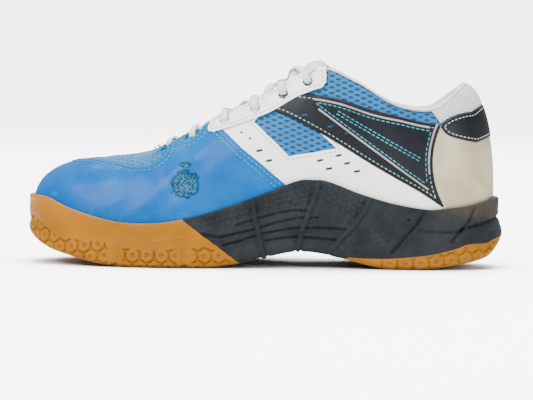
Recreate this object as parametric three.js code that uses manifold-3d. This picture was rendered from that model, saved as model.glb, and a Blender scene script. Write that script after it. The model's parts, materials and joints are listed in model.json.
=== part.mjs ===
// A right-foot court shoe for racket sports, toe towards -X, big-toe side towards -Y, +Z up, in millimetres.
// The upper is one smooth lasted surface; every layer and panel of the upper is cut from offsets of it.
import * as THREE from "three";
import { mergeVertices } from "three/addons/utils/BufferGeometryUtils.js";
import Module from "manifold-3d";

const wasm = await Module();
wasm.setup();

// ---------------------------------------------------------------- driving dimensions, in mm
const SHOE_LENGTH = 282; // nominal outer length
const GRADED_LENGTH = 282; // the length that the station table below is drawn for
const GIRTH_GRADE = 1; // widths, against the station table
const HEIGHT_GRADE = 1; // heights above the foot bed, against the station table

const PLY_GAP = 0.3; // left between any two pieces that touch
const TEXTILE_THICK = 0.9; // face of the mesh, outside the lasted surface
const STIFFENER_THICK = 1.2; // toe puff and heel counter, inside the lasted surface
const LINING_THICK = 0.8;
const OVERLAY_THICK = 1.0; // synthetic panels on the mesh
const BAND_THICK = 0.8; // the raised, stitched quarter band
const COLLAR_FOAM_THICK = 5.0;
const COLLAR_ROLL = 1.6; // lining turned over the collar's edge

const RUBBER_WALL = 3.2; // side wall of the forefoot cup
const RUBBER_TREAD = 4.0; // its tread
const SOLE_LIP = 2.6; // how far the sole's top edge stands out from the panels
const STROBEL_THICK = 1.4;
const SOCKLINER_THICK = 3.6;
const SOCKLINER_CLEARANCE = 1.2; // all round, so that it lifts out
const SHANK_THICK = 1.8;
const FOREFOOT_POD_THICK = 3.2;
const HEEL_POD_THICK = 7.0;

const TONGUE_THICK = 4.5;
const TONGUE_TOP_HALF_WIDTH = 17; // where it passes between the eyestays
const LACE_WIDTH = 4.4;
const LACE_THICK = 2.0;
const LACE_CLEARANCE = 0.45;
const EYELET_RADIUS = 2.7;
const EYELET_INSET = 6.2; // from the throat edge to the eyelet's centre
const EYESTAY_WIDTH = 12.5;

const AROUND_PER_STATION = 2; // facets between two stations
const UP_STEPS = 8; // facets up a rib
const SIDE_REACH = 90; // half width of every cutting prism
const CUT_MARGIN = 2; // by which a cutting shape passes the material

// ---------------------------------------------------------------- the layers, as offsets from the lasted surface
const TEXTILE = { inner: -STIFFENER_THICK - PLY_GAP, outer: TEXTILE_THICK };
const STIFFENER = { inner: -PLY_GAP - STIFFENER_THICK, outer: -PLY_GAP };
const LINING_FACE = STIFFENER.inner - PLY_GAP;
const LINING = { inner: LINING_FACE - LINING_THICK, outer: LINING_FACE };
const OVERLAY = { inner: TEXTILE.outer + PLY_GAP, outer: TEXTILE.outer + PLY_GAP + OVERLAY_THICK };
const BAND = { inner: OVERLAY.outer + PLY_GAP, outer: OVERLAY.outer + PLY_GAP + BAND_THICK };
const CAVITY = OVERLAY.outer + PLY_GAP; // the hollow that the sole leaves for the upper

// ---------------------------------------------------------------- small helpers
const v3 = (x, y, z) => new THREE.Vector3(x, y, z);
const clamp = THREE.MathUtils.clamp;
const lengthScale = SHOE_LENGTH / GRADED_LENGTH;

// A smooth height over x through [x, z] pairs.
function profile(pairs) {
  const curve = new THREE.SplineCurve(pairs.map(([x, z]) => new THREE.Vector2(x * lengthScale, z)));
  const samples = curve.getPoints(pairs.length * 8);
  return (x) => {
    if (x <= samples[0].x) return samples[0].y;
    for (let i = 1; i < samples.length; i++) {
      if (x <= samples[i].x) {
        const a = samples[i - 1];
        const b = samples[i];
        return a.y + ((b.y - a.y) * (x - a.x)) / Math.max(b.x - a.x, 1e-9);
      }
    }
    return samples[samples.length - 1].y;
  };
}

// A closed mesh's geometry as a manifold solid.
function solid(geometry) {
  const bare = geometry.clone();
  bare.deleteAttribute("normal");
  bare.deleteAttribute("uv");
  const merged = mergeVertices(bare, 1e-4);
  return new wasm.Manifold(
    new wasm.Mesh({
      numProp: 3,
      vertProperties: new Float32Array(merged.attributes.position.array),
      triVerts: new Uint32Array(merged.index.array),
    }),
  );
}

// A manifold solid as a three.js geometry.
function geometryOf(made) {
  const mesh = made.getMesh();
  const stride = mesh.numProp;
  const positions = new Float32Array(mesh.numVert * 3);
  for (let i = 0; i < mesh.numVert; i++) {
    positions.set(mesh.vertProperties.subarray(i * stride, i * stride + 3), i * 3);
  }
  const geometry = new THREE.BufferGeometry();
  geometry.setAttribute("position", new THREE.BufferAttribute(positions, 3));
  geometry.setIndex(new THREE.BufferAttribute(new Uint32Array(mesh.triVerts), 1));
  geometry.computeVertexNormals();
  return geometry;
}

// A geometry from a list of points and a list of triangles or quads that face out.
function faceted(points, faces) {
  const index = [];
  for (const f of faces) {
    index.push(f[0], f[1], f[2]);
    if (f.length === 4) index.push(f[0], f[2], f[3]);
  }
  const geometry = new THREE.BufferGeometry().setFromPoints(points);
  geometry.setIndex(index);
  return geometry;
}

// ---------------------------------------------------------------- the last
// Height of the foot bed along the shoe: toe spring, ball, arch, heel seat.
const footBed = profile([
  [-137, 25], [-118, 19.5], [-95, 16], [-60, 14], [-20, 15.5], [20, 19.5], [60, 23.5], [100, 26], [137, 27.5],
]);

// One row per station from toe tip to heel, for the medial side and its mirror image.
// foot: x, y medial, x, y lateral of the feather line.  top: x, y, z of the throat or collar edge.
// low: push forward or back, push outwards, rise above the feather line.
// high: pull forward or back, pull outwards, z.
const STATIONS = [
  { foot: [-136, -5, -136, -5], top: [-66, 0, 65.5], low: [-8, 0, 31], high: [-54, 0, 62] },
  { foot: [-129, -23, -128, 12], top: [-64.5, 7.5, 66], low: [-6.5, 5, 30], high: [-48, 12.5, 62.5] },
  { foot: [-110, -36.5, -108, 29], top: [-60, 11.5, 68.5], low: [-3, 5, 26], high: [-27, 17.2, 63.6] },
  { foot: [-84, -43, -83, 41], top: [-51, 14, 74], low: [0, 5, 22], high: [-13, 17, 68] },
  { foot: [-56, -45, -56, 46], top: [-36.5, 16, 82.5], low: [0, 4, 24], high: [-7, 16, 75] },
  { foot: [-26, -41, -26, 45], top: [-18.5, 17.5, 91.5], low: [1, 4, 27], high: [-2, 14, 82] },
  { foot: [4, -35.5, 4, 41], top: [0.5, 19, 101.5], low: [1, 4, 31], high: [1, 12, 90] },
  { foot: [30, -32, 30, 37.5], top: [19, 21, 114], low: [0, 5, 34], high: [3, 10, 99] },
  { foot: [52, -31, 52, 35], top: [35, 25, 119.5], low: [-1, 5, 36], high: [6, 6, 102] },
  { foot: [74, -31.5, 74, 34], top: [53, 29.5, 112], low: [-2, 5, 34], high: [9, 5, 97] },
  { foot: [96, -31, 96, 32.5], top: [76, 32, 98], low: [-1, 6, 30], high: [11, 5, 87] },
  { foot: [116, -26, 116, 27], top: [98, 28, 95], low: [2, 6, 31], high: [11, 5, 88] },
  { foot: [130, -15, 130, 15.5], top: [112, 17.5, 104], low: [3, 3, 33], high: [12, 3, 100] },
  { foot: [135.5, 0, 135.5, 0], top: [118.5, 0, 109.5], low: [4, 0, 35], high: [13, 0, 108] },
];

// The four control rings of the ribs, medial stations first and then the lateral ones back to the toe.
function controlRings() {
  const rings = [[], [], [], []];
  const last = STATIONS.length - 1;
  for (let i = 0; i < 2 * last; i++) {
    const medial = i <= last;
    const station = STATIONS[medial ? i : 2 * last - i];
    const side = medial ? -1 : 1;
    const x = station.foot[medial ? 0 : 2] * lengthScale;
    const y = station.foot[medial ? 1 : 3] * GIRTH_GRADE;
    const bed = footBed(x);
    const raise = (z) => bed + (z - bed) * HEIGHT_GRADE;
    const top = v3(station.top[0] * lengthScale, side * station.top[1] * GIRTH_GRADE, raise(station.top[2]));
    rings[0].push(v3(x, y, bed));
    rings[1].push(v3(x + station.low[0], y + side * station.low[1], bed + station.low[2] * HEIGHT_GRADE));
    const [back, out, height] = station.high;
    rings[2].push(v3(top.x + back * lengthScale, top.y + side * out, raise(height)));
    rings[3].push(top);
  }
  return rings.map((points) => new THREE.CatmullRomCurve3(points, true, "centripetal"));
}
const RINGS = controlRings();
const STATION_COUNT = 2 * (STATIONS.length - 1);
const AROUND = STATION_COUNT * AROUND_PER_STATION;

// A point of the upper's outer surface: s runs once round from the toe, t from feather line to top edge.
function onLast(s, t) {
  const turn = s - Math.floor(s);
  const [a, b, c, d] = RINGS.map((ring) => ring.getPoint(turn));
  return new THREE.CubicBezierCurve3(a, b, c, d).getPoint(clamp(t, 0, 1));
}

// The outward normal there.
function normalAt(s, t) {
  const h = 1e-3;
  const along = onLast(s + h, t).sub(onLast(s - h, t));
  const up = onLast(s, Math.min(t + h, 1)).sub(onLast(s, Math.max(t - h, 0)));
  return along.cross(up).normalize();
}

const offsetPoint = (s, t, d) => onLast(s, t).addScaledVector(normalAt(s, t), d);

// Rows of points at offset d: [step up][step round].
function grid(d) {
  const rows = [];
  for (let j = 0; j <= UP_STEPS; j++) {
    const row = [];
    for (let i = 0; i < AROUND; i++) row.push(offsetPoint(i / AROUND, j / UP_STEPS, d));
    rows.push(row);
  }
  return rows;
}
const gridCache = new Map();
const cachedGrid = (d) => {
  if (!gridCache.has(d)) gridCache.set(d, grid(d));
  return gridCache.get(d);
};

// The ring-shaped shell between two offsets of the surface.
// Its lower and upper edges may be carried past the surface's own, by under and over rows.
function shell(inner, outer, under = 0, over = 0) {
  const stretched = (d) => {
    const rows = cachedGrid(d);
    const low = rows[0].map((p, i) => p.clone().lerp(rows[1][i], under));
    const high = rows[UP_STEPS].map((p, i) => p.clone().lerp(rows[UP_STEPS - 1][i], -over));
    return [low, ...rows.slice(1, UP_STEPS), high].flat();
  };
  const points = [...stretched(outer), ...stretched(inner)];
  const layer = (UP_STEPS + 1) * AROUND;
  const at = (side, j, i) => side * layer + j * AROUND + (i % AROUND);
  const faces = [];
  for (let i = 0; i < AROUND; i++) {
    for (let j = 0; j < UP_STEPS; j++) {
      faces.push([at(0, j, i), at(0, j, i + 1), at(0, j + 1, i + 1), at(0, j + 1, i)]);
      faces.push([at(1, j, i), at(1, j + 1, i), at(1, j + 1, i + 1), at(1, j, i + 1)]);
    }
    faces.push([at(0, UP_STEPS, i), at(0, UP_STEPS, i + 1), at(1, UP_STEPS, i + 1), at(1, UP_STEPS, i)]);
    faces.push([at(0, 0, i), at(1, 0, i), at(1, 0, i + 1), at(0, 0, i + 1)]);
  }
  return solid(faceted(points, faces));
}

// A closed solid through rings of points, each in order round from the toe, capped by rungs from side to side.
function ladder(rings) {
  const n = rings[0].length;
  const points = rings.flat();
  const at = (j, i) => j * n + (i % n);
  const faces = [];
  for (let j = 0; j + 1 < rings.length; j++) {
    for (let i = 0; i < n; i++) faces.push([at(j, i), at(j, i + 1), at(j + 1, i + 1), at(j + 1, i)]);
  }
  const rungs = n / 2;
  for (let i = 0; i < rungs; i++) {
    const cap = (j, flip) => {
      const quad = [at(j, i), at(j, n - i), at(j, n - i - 1), at(j, i + 1)];
      const face = [...new Set(quad)];
      faces.push(flip ? face.reverse() : face);
    };
    cap(0, false);
    cap(rings.length - 1, true);
  }
  return solid(faceted(points, faces));
}


// A point of the faceted surface at offset d, column i round and row j up, both may be fractions.
function facetPoint(d, i, j) {
  const rows = cachedGrid(d);
  const turn = ((i % AROUND) + AROUND) % AROUND;
  const i0 = Math.floor(turn);
  const j0 = clamp(Math.floor(j), 0, UP_STEPS - 1);
  const across = (row) => row[i0].clone().lerp(row[(i0 + 1) % AROUND], turn - i0);
  return across(rows[j0]).lerp(across(rows[j0 + 1]), j - j0);
}

// The row at which a column of the surface at offset d reaches height z.
function rowAtHeight(d, i, z) {
  for (let j = 0; j < UP_STEPS; j++) {
    const low = facetPoint(d, i, j).z;
    const high = facetPoint(d, i, j + 1).z;
    if (z <= high) return j + clamp((z - low) / (high - low), 0, 1);
  }
  return UP_STEPS;
}

// The row that lies a given distance below the top edge, on the lasted surface.
function rowBelowEdge(i, distance) {
  const edge = facetPoint(0, i, UP_STEPS);
  let row = UP_STEPS;
  while (row > 0 && facetPoint(0, i, row).distanceTo(edge) < distance) row -= 0.02;
  return row;
}

// A stretch of layer between two columns; rows is a list, low edge first, or makes one for a column.
// inner and outer are offsets, or give them for a column and the place in the list of rows.
function stretch(from, to, rows, inner, outer) {
  const columns = [from];
  for (let c = Math.floor(from) + 1; c < to - 1e-6; c++) columns.push(c);
  columns.push(to);
  const rowsOf = typeof rows === "function" ? rows : () => rows;
  const value = (f, c, j) => (typeof f === "function" ? f(c, j) : f);
  const count = rowsOf(from).length;
  const points = [];
  for (const c of columns) {
    const list = rowsOf(c);
    for (let j = 0; j < count; j++) points.push(facetPoint(value(outer, c, j), c, list[j]));
    for (let j = 0; j < count; j++) points.push(facetPoint(value(inner, c, j), c, list[j]));
  }
  const at = (i, side, j) => i * 2 * count + side * count + j;
  const faces = [];
  const last = columns.length - 1;
  for (let i = 0; i < last; i++) {
    for (let j = 0; j + 1 < count; j++) {
      faces.push([at(i, 0, j), at(i + 1, 0, j), at(i + 1, 0, j + 1), at(i, 0, j + 1)]);
      faces.push([at(i, 1, j), at(i, 1, j + 1), at(i + 1, 1, j + 1), at(i + 1, 1, j)]);
    }
    const top = count - 1;
    faces.push([at(i, 0, top), at(i + 1, 0, top), at(i + 1, 1, top), at(i, 1, top)]);
    faces.push([at(i, 0, 0), at(i, 1, 0), at(i + 1, 1, 0), at(i + 1, 0, 0)]);
  }
  for (let j = 0; j + 1 < count; j++) {
    faces.push([at(0, 0, j), at(0, 0, j + 1), at(0, 1, j + 1), at(0, 1, j)]);
    faces.push([at(last, 0, j), at(last, 1, j), at(last, 1, j + 1), at(last, 0, j + 1)]);
  }
  return solid(faceted(points, faces));
}

// ---------------------------------------------------------------- cutting shapes
const shapeOf = (points) => new THREE.Shape(points.map(([a, b]) => new THREE.Vector2(a, b)));

// A side-view outline of [x, z] pairs, carried across the shoe from yMin to yMax.
function sidePrism(points, yMin = -SIDE_REACH, yMax = SIDE_REACH) {
  const scaled = points.map(([x, z]) => [x * lengthScale, gradeHeight(x * lengthScale, z)]);
  const geometry = new THREE.ExtrudeGeometry(shapeOf(scaled), { depth: yMax - yMin, bevelEnabled: false });
  geometry.rotateX(Math.PI / 2);
  geometry.translate(0, yMax, 0);
  return solid(geometry);
}
function gradeHeight(x, z) {
  const bed = footBed(x);
  return z > bed ? bed + (z - bed) * HEIGHT_GRADE : z;
}

// A plan-view outline of [x, y] pairs, carried up from zMin to zMax.
function planPrism(points, zMin, zMax) {
  const scaled = points.map(([x, y]) => [x * lengthScale, y * GIRTH_GRADE]);
  const geometry = new THREE.ExtrudeGeometry(shapeOf(scaled), { depth: zMax - zMin, bevelEnabled: false });
  geometry.translate(0, 0, zMin);
  return solid(geometry);
}

// A smooth open line through [a, b] pairs, as pairs.
const smooth = (pairs, per = 3) =>
  new THREE.SplineCurve(pairs.map(([a, b]) => new THREE.Vector2(a, b)))
    .getPoints((pairs.length - 1) * per)
    .map((p) => [p.x, p.y]);

// The same line moved up or sideways.
const moved = (pairs, da, db) => pairs.map(([a, b]) => [a + da, b + db]);

// The biggest body of a cut.
function biggest(made) {
  const bodies = made.decompose();
  return bodies.sort((a, b) => b.volume() - a.volume())[0];
}

const HALVES = [
  { name: "medial", side: -1, yMin: -SIDE_REACH, yMax: -PLY_GAP / 2 },
  { name: "lateral", side: 1, yMin: PLY_GAP / 2, yMax: SIDE_REACH },
];
const mirrored = (column, side) => (side < 0 ? column : AROUND - column);
const spanFor = (side, from, to) => (side < 0 ? [from, to] : [AROUND - to, AROUND - from]);

// ---------------------------------------------------------------- columns and rows where pieces start and end
const perStation = AROUND_PER_STATION;
const VAMP_END = 4.2 * perStation; // seam between vamp and quarters
const PUFF_END = 3 * perStation;
const PUFF_ROW = 4.5;
const COLLAR_START = 8 * perStation; // the padded collar
const COUNTER_START = 9.5 * perStation;
const COUNTER_ROW = 3.8;
const FOAM_ROW = 4;
const HEEL_CENTRE = AROUND / 2;
const SEAM = 0.03; // half a seam's gap, in columns

// ---------------------------------------------------------------- eyelets
const EYELET_STATIONS = [2.75, 3.7, 4.75, 5.65, 6.5, 7.3];
const EYELETS = EYELET_STATIONS.map((station) => {
  const column = station * perStation;
  return { column, row: rowBelowEdge(column, EYELET_INSET) };
});
function eyeletDrill(eyelet, side) {
  const column = mirrored(eyelet.column, side);
  const low = facetPoint(LINING.inner - CUT_MARGIN, column, eyelet.row);
  const high = facetPoint(OVERLAY.outer + CUT_MARGIN, column, eyelet.row);
  const axis = high.clone().sub(low);
  const geometry = new THREE.CylinderGeometry(EYELET_RADIUS, EYELET_RADIUS, axis.length(), 8);
  geometry.applyQuaternion(new THREE.Quaternion().setFromUnitVectors(v3(0, 1, 0), axis.clone().normalize()));
  const middle = low.lerp(high, 0.5);
  geometry.translate(middle.x, middle.y, middle.z);
  return solid(geometry);
}
const DRILLS = HALVES.map(({ side }) => wasm.Manifold.union(EYELETS.map((e) => eyeletDrill(e, side))));
const ALL_DRILLS = DRILLS[0].add(DRILLS[1]);

// ---------------------------------------------------------------- inner layers
const allRows = Array.from({ length: UP_STEPS + 1 }, (_, j) => j);
const rowsUpTo = (row) => [...allRows.filter((j) => j < row - 0.05), row];
const rowsFrom = (row) => [row, ...allRows.filter((j) => j > row + 0.05)];
const nodes = [];
const piece = (name, made, color, roughness = 0.8) => nodes.push({ name, made, color, roughness });

const stiffenerRing = shell(STIFFENER.inner, STIFFENER.outer);
const pocketRing = shell(STIFFENER.inner - 1, 0, -0.5, 0.5);
// A zone of the wall, thick enough to hold any layer, between columns and rows.
const zone = (from, to, rows) => stretch(from, to, rows, -12, 6);

const toePuff = stiffenerRing.intersect(zone(-PUFF_END, PUFF_END, [-1, ...rowsUpTo(PUFF_ROW)]));
const puffPocket = pocketRing.intersect(
  zone(-PUFF_END - 0.1, PUFF_END + 0.1, [-1, ...rowsUpTo(PUFF_ROW + 0.06)]),
);
const heelColumns = [COUNTER_START, AROUND - COUNTER_START];
const counter = stiffenerRing.intersect(zone(...heelColumns, [-1, ...rowsUpTo(COUNTER_ROW)]));
const counterPocket = pocketRing.intersect(
  zone(heelColumns[0] - 0.1, heelColumns[1] + 0.1, [-1, ...rowsUpTo(FOAM_ROW)]),
);

// Collar foam swells from nothing at its lower edge, and the lining follows it and rolls over the top.
const foamRows = rowsFrom(FOAM_ROW);
const foamDepth = [0.4, 0.8, 1, 1, 1].map((share) => -PLY_GAP - share * COLLAR_FOAM_THICK);
const collarFoam = stretch(COLLAR_START, AROUND - COLLAR_START, foamRows, (c, j) => foamDepth[j], -PLY_GAP);
const foamPocketRows = [FOAM_ROW - 0.06, ...rowsFrom(FOAM_ROW + 1), UP_STEPS + 1];
const foamPocket = pocketRing.intersect(
  zone(COLLAR_START - 0.05, AROUND - COLLAR_START + 0.05, foamPocketRows),
);
const liningRows = [...rowsUpTo(3), FOAM_ROW - 0.4, ...foamRows];
const liningFace = [0, 0, 0, 0, -0.2].map((d) => LINING.outer + d).concat(foamDepth.map((d) => d - PLY_GAP));
const collarLiningWall = stretch(
  COLLAR_START,
  AROUND - COLLAR_START,
  liningRows,
  (c, j) => liningFace[j] - LINING_THICK,
  (c, j) => liningFace[j],
);

piece("toe_puff", toePuff, 0x8a8578);
piece("heel_counter_stiffener", counter, 0x8a8578);
piece("collar_foam", collarFoam, 0xe6dfae);

// A strip that lies along the collar's edge, over foam and panels, and is one with the lining.
function collarRoll() {
  const face = liningFace[liningFace.length - 1];
  const reach = [face - LINING_THICK, OVERLAY.outer];
  const rollGap = 1.5 * PLY_GAP;
  const points = [];
  const columns = [];
  for (let c = COLLAR_START; c <= AROUND - COLLAR_START; c++) columns.push(c);
  for (const c of columns) {
    const inside = facetPoint(reach[0], c, UP_STEPS);
    const outside = facetPoint(reach[1], c, UP_STEPS);
    const below = facetPoint(0, c, UP_STEPS - 1);
    const up = facetPoint(0, c, UP_STEPS).sub(below).normalize();
    const raised = (p, by) => p.clone().addScaledVector(up, by);
    points.push(facetPoint(reach[0] + 0.2, c, UP_STEPS - 0.2), facetPoint(face - 0.2, c, UP_STEPS - 0.2));
    for (const d of [face - 0.1, -PLY_GAP / 2, TEXTILE.outer]) {
      points.push(raised(facetPoint(d, c, UP_STEPS), rollGap));
    }
    points.push(raised(outside, rollGap), raised(outside, PLY_GAP + 0.5 * COLLAR_ROLL));
    points.push(raised(outside.clone().lerp(inside, 0.25), PLY_GAP + COLLAR_ROLL));
    points.push(raised(outside.clone().lerp(inside, 0.7), PLY_GAP + COLLAR_ROLL));
    points.push(raised(inside, PLY_GAP + 0.4 * COLLAR_ROLL));
  }
  const n = 10;
  const last = columns.length - 1;
  const faces = [];
  for (let i = 0; i < last; i++) {
    for (let j = 0; j < n; j++) {
      const k = (j + 1) % n;
      faces.push([i * n + j, i * n + k, (i + 1) * n + k, (i + 1) * n + j]);
    }
  }
  for (let j = 1; j + 1 < n; j++) {
    faces.push([0, j + 1, j]);
    faces.push([last * n, last * n + j, last * n + j + 1]);
  }
  const made = solid(faceted(points, faces));
  return made.volume() < 0 ? solid(faceted(points, faces.map((f) => [...f].reverse()))) : made;
}
piece("collar_lining", biggest(collarLiningWall.add(collarRoll())), 0xd9dcd6);


const vampLining = stretch(-COLLAR_START + SEAM, COLLAR_START - SEAM, allRows, LINING.inner, LINING.outer);
piece("vamp_lining", biggest(vampLining.subtract(ALL_DRILLS)), 0xd9dcd6);

// ---------------------------------------------------------------- textile layer
const vampCloth = stretch(-VAMP_END + SEAM, VAMP_END - SEAM, allRows, TEXTILE.inner, TEXTILE.outer);
piece("vamp_mesh", biggest(vampCloth.subtract(puffPocket).subtract(ALL_DRILLS)), 0x2ab4f0);
for (const { name, side } of HALVES) {
  const [from, to] = spanFor(side, VAMP_END + SEAM, HEEL_CENTRE - SEAM);
  const cloth = stretch(from, to, allRows, TEXTILE.inner, TEXTILE.outer);
  const cut = cloth.subtract(counterPocket).subtract(foamPocket).subtract(ALL_DRILLS);
  piece(`quarter_mesh_${name}`, biggest(cut), 0x1ea6ee);
}

// ---------------------------------------------------------------- overlay outlines, [x, z] from the side
const collarLine = smooth(
  [[18, 104.5], [36, 102.5], [48, 100], [62, 95.5], [77, 92], [92, 88.5], [103.5, 86.6]],
  2,
);
const quarterLowEdge = smooth(
  [[-8, 95.2], [5, 93.2], [17, 88.5], [38, 77.6], [67, 60.5], [92, 46.8], [107, 37]],
  2,
);
const forefootRearEdge = [[-40, 90.5], [-33.5, 85.3], [-14.3, 71], [4.9, 55.7], [12.7, 49.4], [24, 38], [40, 8]];
const toeWindowEdge = smooth(
  [[-113, 61.5], [-104, 60.8], [-90, 60], [-79, 58.6], [-69, 60], [-63, 64], [-59.5, 71]],
  2,
);
const scallop = smooth([[104, 86.5], [101.5, 80], [99.5, 70], [99.8, 58], [103, 46], [109, 34]], 2);
const patchLowEdge = [[104.5, 86.1], [109, 81.5], [118, 78.8], [131, 77], [150, 76.4]];
const heelTopLine = [[104.5, 86.9], [110, 90.6], [118, 93.2], [128, 94], [150, 94.2]];

// The eyestay runs along the throat; the panels below it stop at its lower edge.
const EYESTAY_FROM = 4.3 * perStation;
const EYESTAY_TO = 8.05 * perStation;
const eyestayRows = (below) => (c) => {
  const low = rowBelowEdge(c, EYESTAY_WIDTH + below);
  return [low, (low + UP_STEPS) / 2, UP_STEPS + 1];
};
const overlayRing = shell(OVERLAY.inner, OVERLAY.outer);

// Slots that let the first two lace loops through the forefoot panel's edge.
function notch(eyelet, side) {
  const [from, to] = spanFor(side, eyelet.column - 0.5, eyelet.column + 0.5);
  return zone(from, to, [eyelet.row - 0.4, UP_STEPS + 1]);
}
const notches = HALVES.map(({ side }) => wasm.Manifold.union(EYELETS.slice(0, 2).map((e) => notch(e, side))));
const eyestayZones = [];
const eyestays = HALVES.map(({ side }) => {
  const [from, to] = spanFor(side, EYESTAY_FROM, EYESTAY_TO);
  const rowsAt = (below) => (c) => eyestayRows(below)(mirrored(c, side));
  const [wideFrom, wideTo] = spanFor(side, EYESTAY_FROM - 0.05, EYESTAY_TO + 0.05);
  eyestayZones.push(zone(wideFrom, wideTo, rowsAt(PLY_GAP)));
  return overlayRing.intersect(zone(from, to, rowsAt(0)));
});

// Forefoot panel: round the toe on both sides, open on top over the vamp.
const forefootOutline = [[-170, 0], [-170, 130], ...forefootRearEdge];
const windowOutline = [[-113, 90], ...toeWindowEdge, [-59.5, 90]];
let forefoot = overlayRing.intersect(sidePrism(forefootOutline)).subtract(sidePrism(windowOutline));
forefoot = forefoot.subtract(notches[0]).subtract(notches[1]);
forefoot = forefoot.subtract(eyestayZones[0]).subtract(eyestayZones[1]);
piece("forefoot_overlay", biggest(forefoot), 0x009bf2, 0.35);

const saddleOutline = [
  ...moved(forefootRearEdge, PLY_GAP * 1.5, 0).reverse().slice(0, 7),
  [-20, 100],
  [-2, 93],
  [3, 92],
  [-6, 86],
  [13.5, 67],
  [42, 71.5],
  ...moved(quarterLowEdge, 0, -PLY_GAP * 1.2).slice(7),
  [108.4, 33.6],
  [117.6, 20],
  [122, 8],
];
const quarterOutline = [
  ...quarterLowEdge,
  ...moved(scallop, -PLY_GAP, 0).reverse(),
  ...moved(collarLine, 0, 0).reverse().slice(1),
  [6, 106.5],
  [-8, 98],
];
const bandOutline = [
  [27, 98],
  ...moved(collarLine, 0, -2.6).slice(4, -1),
  [100.5, 84],
  ...moved(scallop, -2.4, 0).slice(2, 9),
  [97, 45.5],
];
const counterOutline = [
  [122.4, 8],
  [118, 20],
  ...scallop.slice().reverse().slice(0, -1),
  ...moved(patchLowEdge, 0, -PLY_GAP).slice(1),
  [150, 8],
];
const patchOutline = [...patchLowEdge, ...heelTopLine.slice().reverse()];
const heelTabOutline = [
  [108.5, 90.2],
  ...moved(heelTopLine, 0, PLY_GAP).slice(2),
  [150, 130],
  [104, 130],
  [106.5, 104],
];

HALVES.forEach(({ name, side, yMin, yMax }, h) => {
  const panel = (outline) => overlayRing.intersect(sidePrism(outline, yMin, yMax)).subtract(eyestayZones[h]);
  piece(`saddle_overlay_${name}`, biggest(panel(saddleOutline)), 0xf7f6ee, 0.45);
  piece(`quarter_overlay_${name}`, biggest(panel(quarterOutline).subtract(DRILLS[h])), 0x1b2027, 0.5);
  piece(`eyestay_${name}`, biggest(eyestays[h].subtract(DRILLS[h])), 0xf4f4f0, 0.5);
  const [from, to] = spanFor(side, 6 * perStation, HEEL_CENTRE - 0.5);
  const bandLayer = stretch(from, to, allRows, BAND.inner, BAND.outer);
  piece(`side_band_${name}`, biggest(bandLayer.intersect(sidePrism(bandOutline, yMin, yMax))), 0x20252c, 0.4);
});
piece("heel_counter_cover", biggest(overlayRing.intersect(sidePrism(counterOutline))), 0xd3cdb4, 0.5);
piece("heel_collar_patch", biggest(overlayRing.intersect(sidePrism(patchOutline))), 0x1b2027, 0.5);
piece("heel_tab", biggest(overlayRing.intersect(sidePrism(heelTabOutline))), 0xdfe1df, 0.9);

// ---------------------------------------------------------------- sole
const soleTop = profile([
  [-141, 40.5], [-134, 40.3], [-129, 39], [-119.5, 34.7], [-110, 31.5], [-95.5, 27.6], [-84, 25.8],
  [-71.5, 25.6], [-57, 26.8], [-38, 31], [-19, 37], [0, 44], [19, 51.6], [29, 52.3], [38, 51.3],
  [57, 44.2], [77, 38.5], [96, 35.3],
  [105, 35.5], [120, 37], [132, 39.5], [140, 42],
]);
const groundLine = profile([
  [-143, 18], [-136, 13.2], [-127, 9], [-117, 6.2], [-107, 3.5], [-97, 1.6], [-88, 0.3], [-78, 0],
  [-50, 0], [-33, 0.2], [-24, 1.6], [-14, 3.2], [-4, 5.6], [5, 7.5], [15, 9.6], [24, 10], [34, 8.9],
  [43, 6.9], [53, 4.6], [62, 2.4],
  [72, 0.6], [80, 0], [92, 0], [105, 1.3], [115, 3.1], [125, 4.8], [134, 7.6], [139, 11.5], [144, 17.5],
]);
const ground = (x) => Math.max(groundLine(x), 0);
// How far the sole's widest line stands out from the feather line, for each station, medial and lateral.
const OVERHANG_MEDIAL = [6.5, 7.5, 8.5, 9, 9, 8.5, 6.5, 6.5, 7.5, 8.5, 8.5, 8.5, 8.5, 8.5];
const OVERHANG_LATERAL = [6.5, 7.5, 8.5, 8.5, 7.5, 7.5, 6, 6, 7, 8, 8.5, 8.5, 8.5, 8.5];
function overhang(column) {
  const station = column / perStation;
  const medial = station <= STATIONS.length - 1;
  const table = medial ? OVERHANG_MEDIAL : OVERHANG_LATERAL;
  const place = medial ? station : STATION_COUNT - station;
  const low = Math.floor(place);
  return THREE.MathUtils.lerp(table[low], table[Math.min(low + 1, table.length - 1)], place - low);
}
function planNormal(column) {
  const a = facetPoint(0, column - 0.5, 0);
  const b = facetPoint(0, column + 0.5, 0);
  return v3(b.y - a.y, a.x - b.x, 0).normalize();
}
const columnList = Array.from({ length: AROUND }, (_, i) => i);

// A ring in plan, out from the feather line by reach, at the height that heightOf gives for x.
const planRing = (reach, heightOf) =>
  columnList.map((i) => {
    const p = facetPoint(0, i, 0).addScaledVector(planNormal(i), reach(i));
    p.z = heightOf(p.x);
    return p;
  });
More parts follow.
